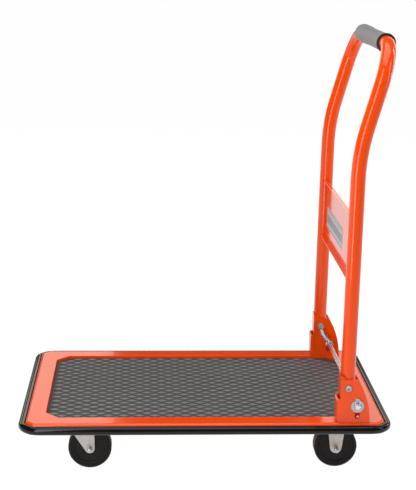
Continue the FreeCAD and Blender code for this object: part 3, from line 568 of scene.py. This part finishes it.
def make_bumper():
    """The extrusion run round the deck: round corners outside, cut corners inside."""
    low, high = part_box("bumper")
    corner, cut = 45 * MM, 16 * MM
    width = high.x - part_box("deck_pan")[1].x
    section = bumper_section(width, high.z - low.z)
    centre_x, centre_y = high.x - corner, high.y - corner
    inner = corner - width
    rings = []
    for quarter in range(4):
        sign_x = 1 if quarter in (0, 3) else -1
        sign_y = 1 if quarter in (0, 1) else -1
        for step in range(17):
            angle = math.radians(90 * quarter + 90 * step / 16)
            across, up = math.cos(angle), math.sin(angle)
            ax, ay = abs(across), abs(up)
            reach = min(inner / max(ax, 1e-6), inner / max(ay, 1e-6), (2 * inner - cut) / (ax + ay))
            ring = []
            for out, z in section:
                r = reach + (corner - reach) * out / width
                ring.append(Vector((sign_x * centre_x + r * across, sign_y * centre_y + r * up, low.z + z)))
            rings.append(ring)
    piece("edge_bumper", rings_to_mesh("edge_bumper", rings, closed_along=True, smooth_below=32), "deck",
          "bumper_vinyl", ["bumper"])


# ---- handle ---------------------------------------------------------------------------------------

def make_grip():
    """Foam sleeve, fuller at its left end and slightly at the other, with a black band at each end."""
    low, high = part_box("grip")
    centre = (low + high) / 2
    radius, half = (high.z - low.z) / 2, (high.y - low.y) / 2
    bore = radius - 4.4 * MM
    ring_thick = 2.2 * MM
    end = half - ring_thick
    edge = 0.5 * MM
    waist = 1.5 * MM
    outline = [(bore, -end)]
    for step in range(5):
        angle = math.radians(90 * step / 4)
        outline.append((radius - edge * (1 - math.sin(angle)), -end + edge * (1 - math.cos(angle))))
    stations = 46
    for step in range(1, stations):
        place = -1 + 2 * step / stations
        narrow = 1 / (1 + math.exp((place - 0.42) * 14)) - 0.7 * max(0.0, -place) ** 6
        outline.append((radius - waist * narrow, place * (end - edge)))
    for step in range(5):
        angle = math.radians(90 - 90 * step / 4)
        outline.append((radius - edge * (1 - math.sin(angle)), end - edge * (1 - math.cos(angle))))
    outline.append((bore, end))
    mesh = turned("foam_grip", centre, outline, steps=72)
    for v in mesh.vertices:
        out = Vector((v.co.x - centre.x, 0, v.co.z - centre.z))
        if out.length > bore + edge:
            v.co -= out.normalized() * 0.2 * MM * (0.5 + 0.5 * noise.noise(v.co * 45))
    grip = piece("foam_grip", mesh, "handle", "grip_foam", ["grip"])
    for name, side in SIDES.items():
        face = side * half
        ring = [(bore, face), (radius - 0.9 * MM, face), (radius - 0.25 * MM, face - side * 0.25 * MM),
                (radius, face - side * 0.9 * MM), (radius, face - side * ring_thick),
                (bore, face - side * ring_thick)]
        mesh = turned(f"grip_end_{name}", Vector((centre.x, 0, centre.z)), ring, steps=72)
        piece(f"grip_end_{name}", mesh, "handle", "grip_foam", finish=BLACK_TRIM)


def weld_tree():
    """Overlapping flattened drops along the edges of a seed mesh, as a hand-laid weld."""
    tree, given = geometry_tree("weld_bead", {
        "Step": "Float", "Radius": "Float", "Seed": "Int", "Finish": "Material"})
    line = node(tree, "GeometryNodeMeshToCurve", sockets={"Mesh": given["Geometry"]})
    spots = node(tree, "GeometryNodeCurveToPoints", {"mode": "LENGTH"},
                 {"Curve": line, "Length": given["Step"]})
    drop = node(tree, "GeometryNodeMeshUVSphere",
                sockets={"Segments": 10, "Rings": 6, "Radius": given["Radius"]})
    size = node(tree, "FunctionNodeRandomValue", {"data_type": "FLOAT"},
                {2: 0.8, 3: 1.15, "Seed": given["Seed"]}, 1)
    drops = node(tree, "GeometryNodeInstanceOnPoints", sockets={
        "Points": spots, "Instance": drop, "Scale": vector(tree, size, size * 0.9, size * 0.7)})
    end_tree(tree, drops, given["Finish"])
    return tree


def weld(name, runs, body, radius, seed):
    """One piece of weld along straight runs, each a pair of points."""
    line = bpy.data.meshes.new(f"{name}_runs")
    ends = [point for run in runs for point in run]
    line.from_pydata(ends, [(2 * i, 2 * i + 1) for i in range(len(runs))], [])
    mesh = grown(name, WELD, {"Step": radius * 0.9, "Radius": radius, "Seed": seed,
                              "Finish": skin("orange_paint")}, line)
    piece(name, mesh, body, "orange_paint")


def make_panel_welds():
    """Beads where the folded lips and the sheet meet the posts."""
    low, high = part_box("panel")
    tube_radius, overlap = 14 * MM, 0.6 * MM
    post_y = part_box("handle_tube")[1].y - tube_radius
    radius, reach = 1.7 * MM, 13 * MM
    edge_y = post_y - tube_radius + overlap
    lean = math.tan(math.radians(0.5))      # the posts lean back by this much
    pivot = middle("pivot_bolt_left")
    runs = []
    for side in SIDES.values():
        for z, down in ((low.z + 1.2 * MM, 1), (high.z - 1.2 * MM, -1)):
            middle_x = pivot.x + (z - pivot.z) * lean
            y = side * edge_y
            runs.append(((middle_x - 8 * MM, y * 1.006, z), (middle_x + 0.6 * MM, y, z)))
            runs.append(((middle_x + 1.6 * MM, y, z), (middle_x + 1.6 * MM, y, z + down * reach)))
        middle_z = (low.z + high.z) / 2
        middle_x = pivot.x + (middle_z - pivot.z) * lean
        runs.append(((middle_x + 1.6 * MM, side * edge_y, middle_z - reach / 2),
                     (middle_x + 1.6 * MM, side * edge_y, middle_z + reach / 2)))
    weld("panel_welds", runs, "handle", radius, 3)


def make_bracket_welds():
    """Beads along the feet of the brackets, inside the back opening and across the front."""
    runs = []
    for name in SIDES:
        low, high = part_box(f"bracket_{name}")
        foot = low.z + 0.4 * MM
        sheet = 2 * MM
        back = high.x - 14 * MM
        for y, turn in ((low.y + sheet, 1), (high.y - sheet, -1)):
            runs.append(((back, y + turn * 0.5 * MM, foot), (high.x - 2 * MM, y + turn * 0.5 * MM, foot)))
        runs.append(((low.x + 0.8 * MM, low.y + 9 * MM, foot), (low.x + 0.8 * MM, high.y - 9 * MM, foot)))
    weld("bracket_welds", runs, "deck", 1.3 * MM, 5)


# ---- springs and split pins -----------------------------------------------------------------------

def coil_tree():
    """A close-wound coil whose own axis bends along a three-point curve in a plane across Y."""
    tree, given = geometry_tree("spring_coil", {
        "Start": "Vector", "Middle": "Vector", "End": "Vector", "Turns": "Float", "Coil Radius": "Float",
        "Wire Radius": "Float", "Points": "Int", "Sides": "Int", "Finish": "Material"})

    def vectors(operation, *values):
        return node(tree, "ShaderNodeVectorMath", {"operation": operation}, dict(enumerate(values)))

    def mixed(factor, first, second):
        return node(tree, "ShaderNodeMix", {"data_type": "VECTOR"}, {0: factor, 4: first, 5: second}, 1)

    line = node(tree, "GeometryNodeMeshLine", {"mode": "OFFSET"}, {"Count": given["Points"]})
    along = node(tree, "GeometryNodeInputIndex") / (given["Points"] - 1)
    first = mixed(along, given["Start"], given["Middle"])
    second = mixed(along, given["Middle"], given["End"])
    axis = mixed(along, first, second)
    ahead = vectors("NORMALIZE", vectors("SUBTRACT", second, first))
    across = (0.0, 1.0, 0.0)
    outward = vectors("CROSS_PRODUCT", ahead, across)
    angle = along * given["Turns"] * (2 * math.pi)
    swing = angle.math("COSINE") * given["Coil Radius"]
    sway = angle.math("SINE") * given["Coil Radius"]
    sideways = node(tree, "ShaderNodeVectorMath", {"operation": "SCALE"}, {0: outward, 3: swing})
    spot = vectors("ADD", axis, sideways)
    spot = vectors("ADD", spot, vector(tree, 0.0, sway, 0.0))
    moved = node(tree, "GeometryNodeSetPosition", sockets={"Geometry": line, "Position": spot})
    curve = node(tree, "GeometryNodeMeshToCurve", sockets={"Mesh": moved})
    section = node(tree, "GeometryNodeCurvePrimitiveCircle",
                   sockets={"Resolution": given["Sides"], "Radius": given["Wire Radius"]})
    tube = node(tree, "GeometryNodeCurveToMesh",
                sockets={"Curve": curve, "Profile Curve": section, "Fill Caps": True})
    end_tree(tree, tube, given["Finish"])
    return tree


def make_springs():
    """Bent return springs from the tail of each pivot bolt to a collar on the foot bar."""
    coil = coil_tree()
    bar = middle("foot_bar")
    bar_radius = 4.5 * MM
    for name, side in SIDES.items():
        bolt = middle(f"pivot_bolt_{name}")
        y = middle(f"spring_{name}").y
        start = Vector((bolt.x + 0.4 * MM, y, bolt.z - 4.6 * MM))
        collar_y = y - side * 14 * MM
        end = Vector((bar.x - 3.2 * MM, collar_y, bar.z + 6.2 * MM))
        chord = end - start
        bend = (start + end) / 2 + Vector((chord.z, 0, -chord.x)).normalized() * 6.8 * MM
        wire_radius, coil_radius, turns = 0.62 * MM, 4.1 * MM, 23
        mesh = grown(f"return_spring_{name}", coil, {
            "Start": start, "Middle": bend, "End": end, "Turns": float(turns), "Coil Radius": coil_radius,
            "Wire Radius": wire_radius, "Points": turns * 14 + 1, "Sides": 7,
            "Finish": skin("bright_wire")})
        eye_radius = 4.7 * MM
        eye_points = []
        for step in range(33):
            angle = math.radians(250 - 320 * step / 32)
            eye_points.append(Vector((bolt.x + eye_radius * math.cos(angle), y - side * 0.4 * MM,
                                      bolt.z + eye_radius * math.sin(angle))))
        eye = wire(f"spring_eye_{name}", eye_points, wire_radius, 8)
        whole = joined(f"return_spring_{name}", [mesh, eye])
        spring = piece(f"return_spring_{name}", whole, None, "bright_wire", [f"spring_{name}"])
        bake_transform(spring)
        collar = [(bar_radius / MM, 3.2), (6.6, 3.2), (7.1, 2.7), (7.1, 1.7), (6.3, 1.1)]
        outline = [(r * MM, -d * MM) for r, d in mirrored(collar)]
        mesh = turned(f"bar_collar_{name}", Vector((bar.x, collar_y, bar.z)), outline, steps=36)
        piece(f"bar_collar_{name}", mesh, "foot_bar", "zinc_fastener")


def make_split_pins():
    """Thick wire clips on the ends of the foot bar: two coils round it under a pointed eye."""
    bar = middle("foot_bar")
    leg = 0.8 * MM
    coil = 5.4 * MM
    for name, side in SIDES.items():
        y = middle(f"split_pin_{name}").y
        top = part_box(f"split_pin_{name}")[1].z - leg
        points = []
        for step in range(37):
            angle = math.radians(-60 - 590 * step / 36)
            rise = side * 1.7 * MM * (step / 36 - 0.5)
            points.append(Vector((bar.x + coil * math.cos(angle), y + rise,
                                  bar.z + coil * math.sin(angle))))
        eye_y = points[-1].y
        shoulder, tip = 5.2 * MM, 1.5 * MM
        points.append(Vector((bar.x + shoulder, eye_y, bar.z + 8.0 * MM)))
        for step in range(13):
            angle = math.radians(180 * step / 12)
            points.append(Vector((bar.x + tip * math.cos(angle), eye_y, top - tip * (1 - math.sin(angle)))))
        points.append(Vector((bar.x - shoulder, eye_y, bar.z + 8.0 * MM)))
        points.append(Vector((bar.x - coil * 0.9, eye_y, bar.z + 3.5 * MM)))
        points.append(Vector((bar.x - coil, eye_y - side * 0.4 * MM, bar.z - 1.5 * MM)))
        mesh = wire(f"split_pin_wire_{name}", points, leg, 10)
        piece(f"split_pin_wire_{name}", mesh, "foot_bar", "bright_wire", [f"split_pin_{name}"])


def make_pivot_bolts():
    """Button-head bolts with a hexagon socket, through both walls of each bracket."""
    steps = 48

    def hexagon(angle, flats):
        return flats / 2 / math.cos((angle + math.pi / 6) % (math.pi / 3) - math.pi / 6)

    for name, side in SIDES.items():
        low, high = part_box(f"pivot_bolt_{name}")
        centre = (low + high) / 2
        bracket_low, bracket_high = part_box(f"bracket_{name}")
        face = bracket_high.y if side > 0 else -bracket_low.y
        tip = high.y if side > 0 else -low.y
        tail = low.y if side > 0 else -high.y
        head, shank, flats = (high.z - low.z) / 2, 3.9 * MM, 5.4 * MM
        edge = face + 0.4 * MM
        rings = [(shank * 0.86, tail, 0), (shank, tail + 0.6 * MM, 0), (shank, face, 0),
                 (head - 0.3 * MM, face, 0), (head, edge, 0)]
        crown = [math.radians(90 * step / 8) for step in range(1, 7)]
        for angle in crown:
            climb = (tip - edge) * math.sin(angle) / math.sin(crown[-1])
            rings.append((head * (0.55 + 0.45 * math.cos(angle)), edge + climb, 0))
        rings += [(flats, tip, 1), (flats, tip - 0.2 * MM, 1), (flats, tip - 2.6 * MM, 1),
                  (flats * 0.1, tip - 3.1 * MM, 0)]
        layers = []
        for r, out, is_hex in rings:
            ring = []
            for i in range(steps):
                angle = 2 * math.pi * i / steps
                reach = hexagon(angle, r) if is_hex else r
                ring.append(Vector((centre.x + reach * math.cos(angle), side * out,
                                    centre.z + reach * math.sin(angle))))
            layers.append(ring)
        mesh = rings_to_mesh(f"socket_bolt_{name}", layers)
        piece(f"socket_bolt_{name}", mesh, "deck", "zinc_fastener", [f"pivot_bolt_{name}"])


def make_stop_rivets():
    """Small bright ball heads standing in the bottom of the slots."""
    for name, side in SIDES.items():
        low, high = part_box(f"stop_rivet_{name}")
        centre = (low + high) / 2
        inner = low.y if side > 0 else -high.y
        bracket_low, bracket_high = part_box(f"bracket_{name}")
        face = bracket_high.y if side > 0 else -bracket_low.y
        ball, stem = 2.9 * MM, 2.0 * MM
        middle_y = face - 2.75 * MM
        outline = [(0, inner), (stem, inner), (stem, middle_y - ball * math.cos(math.asin(stem / ball)))]
        for step in range(1, 12):
            angle = math.radians(140 * (1 - step / 11))
            outline.append((max(ball * math.sin(angle), 0), middle_y + ball * math.cos(angle)))
        turned_points = [(r, side * d) for r, d in outline]
        at = Vector((centre.x + 1.4 * MM, 0, centre.z - 1.2 * MM))
        mesh = turned(f"stop_ball_{name}", at, turned_points, steps=32)
        piece(f"stop_ball_{name}", mesh, "deck", "zinc_fastener", [f"stop_rivet_{name}"])


# ---- casters --------------------------------------------------------------------------------------

def mirrored(outline):
    """The outline of one half, from the middle outwards, closed with its mirror image."""
    return outline + [(r, -d) for r, d in reversed(outline)]


def ring_groove(start, level, width, depth, wall):
    """A shallow round groove in a face, from its outer edge inwards."""
    return [(start, level), (start - wall, level - depth), (start - width + wall, level - depth),
            (start - width, level)]


def make_wheel(end, side_name):
    """Tyre with ringed side walls and a grooved tread on a flat hub with shallow rings."""
    label = f"{end}_{side_name}"
    centre = middle(f"tyre_{label}")
    low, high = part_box(f"tyre_{label}")
    radius, half = (high.z - low.z) / 2 / MM, (high.y - low.y) / 2 / MM
    shoulder = 3.5
    hub_low, hub_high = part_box(f"hub_{label}")
    hub_radius = (hub_high.z - hub_low.z) / 2 / MM
    tyre = [(radius, 0.7), (radius - 0.5, 1.0), (radius - 0.5, 1.8), (radius, 2.1), (radius, 5.6),
            (radius - 0.5, 5.9), (radius - 0.5, 6.7), (radius - 0.05, 7.0)]
    for step in range(7):
        angle = math.radians(90 * step / 6)
        tyre.append((radius - shoulder + shoulder * math.cos(angle),
                     half - shoulder + shoulder * math.sin(angle)))
    for ring in (radius - 5.5, radius - 8.0):
        tyre += ring_groove(ring, half, 1.45, 0.55, 0.35)
    tyre += [(hub_radius + 1.0, half), (hub_radius + 0.3, half - 0.4), (hub_radius, half - 1.2)]
    outline = [(r * MM, d * MM) for r, d in mirrored(tyre)]
    mesh = turned(f"tyre_ringed_{label}", centre, outline, steps=96)
    piece(f"tyre_ringed_{label}", mesh, f"wheel_{label}", "tyre_rubber", [f"tyre_{label}"])

    boss, proud, bore = 9.0, (hub_high.y - hub_low.y) / 2 / MM, 4.06
    disc = half - 1.0
    hub = [(hub_radius, half - 1.4), (hub_radius - 0.5, disc)]
    for ring in (hub_radius - 3.0, hub_radius - 7.5, boss + 6.0):
        hub += ring_groove(ring, disc, 1.6, 0.5, 0.3)
    hub += [(boss + 1.5, disc), (boss, disc + 0.8), (boss - 0.5, proud), (bore + 1.4, proud),
            (bore, proud - 0.5)]
    outline = [(r * MM, d * MM) for r, d in mirrored(hub)]
    mesh = turned(f"hub_ringed_{label}", centre, outline, steps=72)
    piece(f"hub_ringed_{label}", mesh, f"wheel_{label}", "hub_plastic", [f"hub_{label}"])


def make_axle(end, side_name):
    """Axle bolt with a small domed head; the head is at the end away from its nut."""
    label = f"{end}_{side_name}"
    low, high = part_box(f"axle_{label}")
    centre = (low + high) / 2
    outward = 1 if centre.y > middle(f"axle_nut_{label}").y else -1
    half, shank, head, tall, rim = (high.y - low.y) / 2, 3.95 * MM, 5.0 * MM, 2.8 * MM, 0.8 * MM
    fork_low, fork_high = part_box(f"{end}_fork_{side_name}")
    seat = (fork_high.y - centre.y if outward > 0 else centre.y - fork_low.y) + 0.05 * MM
    outline = [(0, -half), (shank - 0.5 * MM, -half), (shank, 0.5 * MM - half), (shank, seat), (head, seat),
               (head, seat + rim)]
    for step in range(1, 9):
        angle = math.radians(90 * step / 8)
        outline.append((max(head * math.cos(angle), 0), seat + rim + (tall - rim) * math.sin(angle)))
    outline = [(r, outward * d) for r, d in outline]
    body = "deck" if end == "fixed" else f"swivel_{side_name}"
    mesh = turned(f"axle_bolt_{label}", centre, outline, steps=40)
    piece(f"axle_bolt_{label}", mesh, body, "zinc_fastener", [f"axle_{label}"])


def ball_tree():
    """A ring of balls in a race."""
    tree, given = geometry_tree("race_balls", {
        "Centre": "Vector", "Ring Radius": "Float", "Ball Radius": "Float", "Count": "Int",
        "Finish": "Material"})
    ring = node(tree, "GeometryNodeMeshCircle",
                sockets={"Vertices": given["Count"], "Radius": given["Ring Radius"]})
    ring = node(tree, "GeometryNodeTransform", sockets={"Geometry": ring, "Translation": given["Centre"]})
    ball = node(tree, "GeometryNodeMeshIcoSphere",
                sockets={"Radius": given["Ball Radius"], "Subdivisions": 3})
    balls = node(tree, "GeometryNodeInstanceOnPoints", sockets={"Points": ring, "Instance": ball})
    end_tree(tree, balls, given["Finish"])
    return tree


def make_ball_races():
    """Two pressed cups with a ring of balls showing between them, over each swivelling fork."""
    balls = ball_tree()
    for name in SIDES:
        low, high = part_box(f"swivel_race_{name}")
        centre = (low + high) / 2
        deep, outer = (high.z - low.z) / MM, (high.x - low.x) / 2 / MM
        pin = 6.0
        seat = Vector((centre.x, centre.y, low.z))
        cups = []
        upper = [(pin, deep), (outer, deep), (outer, deep - 1.6), (outer - 0.6, deep - 2.9),
                 (outer - 2.4, deep - 4.4), (outer - 3.0, deep - 4.2), (outer - 3.6, deep - 3.0),
                 (pin + 5, deep - 2.2), (pin, deep - 2.2)]
        lower = [(pin + 0.6, 0.0), (outer - 2.0, 0.0), (outer - 0.7, 0.6), (outer - 0.7, 1.3),
                 (outer - 3.2, 2.3), (outer - 4.0, 2.2), (pin + 5, 1.7), (pin + 0.6, 1.7)]
        for label, cup in (("upper", upper), ("lower", lower)):
            outline = [(r * MM, d * MM) for r, d in cup]
            cups.append(turned(f"race_{label}_{name}", seat, outline, "Z", 72))
        mesh = joined(f"race_cups_{name}", cups)
        piece(f"race_cups_{name}", mesh, "deck", "zinc_plate", [f"swivel_race_{name}"])
        mesh = grown(f"race_balls_{name}", balls, {
            "Centre": seat + Vector((0, 0, 3.1 * MM)), "Ring Radius": (outer - 3.9) * MM,
            "Ball Radius": 1.5 * MM, "Count": 34, "Finish": skin("bright_wire")})
        piece(f"race_balls_{name}", mesh, "deck", "bright_wire")


def bolt_tree():
    """Hexagon heads with a chamfered crown over a round washer, one on each point of the seed."""
    tree, given = geometry_tree("caster_bolt_heads", {
        "Head Radius": "Float", "Head Height": "Float", "Washer Radius": "Float", "Washer Height": "Float",
        "Finish": "Material"})
    high, washer = given["Head Height"], given["Washer Height"]
    round_part = node(tree, "GeometryNodeMeshCylinder", sockets={
        "Vertices": 24, "Radius": given["Washer Radius"], "Depth": washer})
    round_part = node(tree, "GeometryNodeTransform", sockets={
        "Geometry": round_part, "Translation": vector(tree, 0.0, 0.0, 0.0 - washer / 2)})
    skirt = high * 0.75
    head = node(tree, "GeometryNodeMeshCylinder", sockets={
        "Vertices": 6, "Radius": given["Head Radius"], "Depth": skirt})
    head = node(tree, "GeometryNodeTransform", sockets={
        "Geometry": head, "Translation": vector(tree, 0.0, 0.0, 0.0 - washer - skirt / 2)})
    crown = node(tree, "GeometryNodeMeshCone", sockets={
        "Vertices": 24, "Radius Top": given["Head Radius"] * 0.70,
        "Radius Bottom": given["Head Radius"] * 0.86, "Depth": high - skirt})
    crown = node(tree, "GeometryNodeTransform", sockets={
        "Geometry": crown, "Rotation": (math.pi, 0.0, 0.0),
        "Translation": vector(tree, 0.0, 0.0, 0.0 - washer - skirt)})
    whole = node(tree, "GeometryNodeJoinGeometry", sockets={0: round_part})
    for extra in (head, crown):
        tree.links.new(extra.output, whole.output.node.inputs[0])
    bolts = node(tree, "GeometryNodeInstanceOnPoints",
                 sockets={"Points": given["Geometry"], "Instance": whole})
    end_tree(tree, bolts, given["Finish"])
    return tree


def make_caster_bolts():
    """Washer-faced bolts under every mounting plate."""
    plate_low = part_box("swivel_plate_left")[0].z
    pitch_x, pitch_y = 62 * MM, 48 * MM
    points = []
    for node_name in ("swivel_plate_left", "swivel_plate_right", "fixed_fork_left", "fixed_fork_right"):
        centre = middle(node_name)
        for dx in (-0.5, 0.5):
            for dy in (-0.5, 0.5):
                points.append((centre.x + dx * pitch_x, centre.y + dy * pitch_y, plate_low))
    seed = bpy.data.meshes.new("bolt_places")
    seed.from_pydata(points, [], [])
    mesh = grown("caster_bolt_heads", bolt_tree(), {
        "Head Radius": 5.2 * MM, "Head Height": 3.2 * MM, "Washer Radius": 6.2 * MM,
        "Washer Height": 0.8 * MM, "Finish": skin("zinc_fastener")}, seed, 25)
    piece("caster_bolt_heads", mesh, "deck", "zinc_fastener", ["caster_bolts"])


# ---- studio ---------------------------------------------------------------------------------------

def make_floor():
    """Pale floor, glowing softly under and behind the cart and fading slowly in front of it."""
    f = Finish("studio_floor", Roughness=0.7, Specular_IOR_Level=0.1, Emission_Strength=1.0)
    glow = f.mask(f.axes()[1], -1.7, -0.28)
    pale = f.blend(f.noise(2.5, 3), grey(0.36), grey(0.40))
    f.feed(Base_Color=f.blend(glow, pale, grey(0.12)),
           Emission_Color=f.blend(glow, grey(0.22), grey(0.98)))
    reach = 40
    corners = [(-reach, -reach, 0), (reach, -reach, 0), (reach, reach, 0), (-reach, reach, 0)]
    mesh = bpy.data.meshes.new("floor")
    mesh.from_pydata(corners, [], [(0, 1, 2, 3)])
    mesh.materials.append(f.material)
    floor = bpy.data.objects.new("floor", mesh)
    bpy.context.scene.collection.objects.link(floor)


def soft_box(name, at, aim, width, height, radiance, colour=(1, 1, 1)):
    """A rectangular light at a place, turned towards another, of even brightness."""
    lamp = bpy.data.lights.new(name, "AREA")
    lamp.shape = "RECTANGLE"
    lamp.size = width
    lamp.size_y = height
    lamp.color = colour
    lamp.energy = radiance * width * height * math.pi
    holder = bpy.data.objects.new(name, lamp)
    holder.location = at
    holder.rotation_euler = (Vector(aim) - Vector(at)).to_track_quat("-Z", "Y").to_euler()
    bpy.context.scene.collection.objects.link(holder)


def make_light():
    """A dim room, a tall strip at the front left, a box overhead, two warm cards and two side boxes."""
    scene = bpy.context.scene
    scene.view_settings.view_transform = "Standard"
    world = bpy.data.worlds.new("studio")
    scene.world = world
    world.use_nodes = True
    ground = world.node_tree.nodes["Background"]
    ground.inputs["Color"].default_value = rgb(1.0, 1.0, 1.0)
    ground.inputs["Strength"].default_value = 0.06
    soft_box("strip", at=(-0.57, -1.12, 1.0), aim=(0.27, -0.20, 0.9), width=0.46, height=1.9, radiance=5.4)
    soft_box("overhead", at=(-0.10, -0.10, 2.4), aim=(0, 0, 0), width=2.2, height=1.8, radiance=2.8)
    warm = (1, 0.90, 0.78)
    card = {"width": 2.4, "height": 1.2, "colour": warm}
    soft_box("card_left", at=(-1.46, 3.0, 1.5), aim=(-1.46, 0, 1.5), radiance=1.65, **card)
    soft_box("card_right", at=(1.86, 3.0, 1.5), aim=(1.86, 0, 1.5), radiance=1.45, **card)
    soft_box("edge_right", at=(1.7, 0.5, 1.1), aim=(0.27, 0, 0.6), width=0.3, height=1.4, radiance=5)
    soft_box("corner_right", at=(1.4, -0.7, 0.9), aim=(0.34, -0.2, 0.1), width=0.4, height=1.4, radiance=3)


def make_camera():
    """Eye height a little over the handle, in front of the deck's long side."""
    at = Vector((-118.2, -2481.1, 1022.1)) * MM
    pitch, yaw, roll = math.radians(13.73), math.radians(2.93), math.radians(0.89)
    ahead = Vector((math.sin(yaw) * math.cos(pitch), math.cos(yaw) * math.cos(pitch), -math.sin(pitch)))
    level = Vector((math.cos(yaw), -math.sin(yaw), 0))
    upright = level.cross(ahead)
    right = level * math.cos(roll) + upright * math.sin(roll)
    up = upright * math.cos(roll) - level * math.sin(roll)
    lens = bpy.data.cameras.new("camera")
    lens.sensor_width = 36
    lens.lens = 93.0
    lens.clip_end = 200
    camera = bpy.data.objects.new("camera", lens)
    frame_axes = Matrix((right, up, -ahead)).transposed().to_4x4()
    frame_axes.translation = at
    camera.matrix_world = frame_axes
    bpy.context.scene.collection.objects.link(camera)
    bpy.context.scene.camera = camera


WELD = weld_tree()

make_camera()
make_floor()
make_light()
make_mat()
make_bumper()
make_grip()
make_panel_welds()
make_bracket_welds()
make_springs()
make_split_pins()
make_pivot_bolts()
make_stop_rivets()
for end in ("fixed", "swivel"):
    for side_name in SIDES:
        make_wheel(end, side_name)
        make_axle(end, side_name)
make_ball_races()
make_caster_bolts()

bpy.context.view_layer.update()
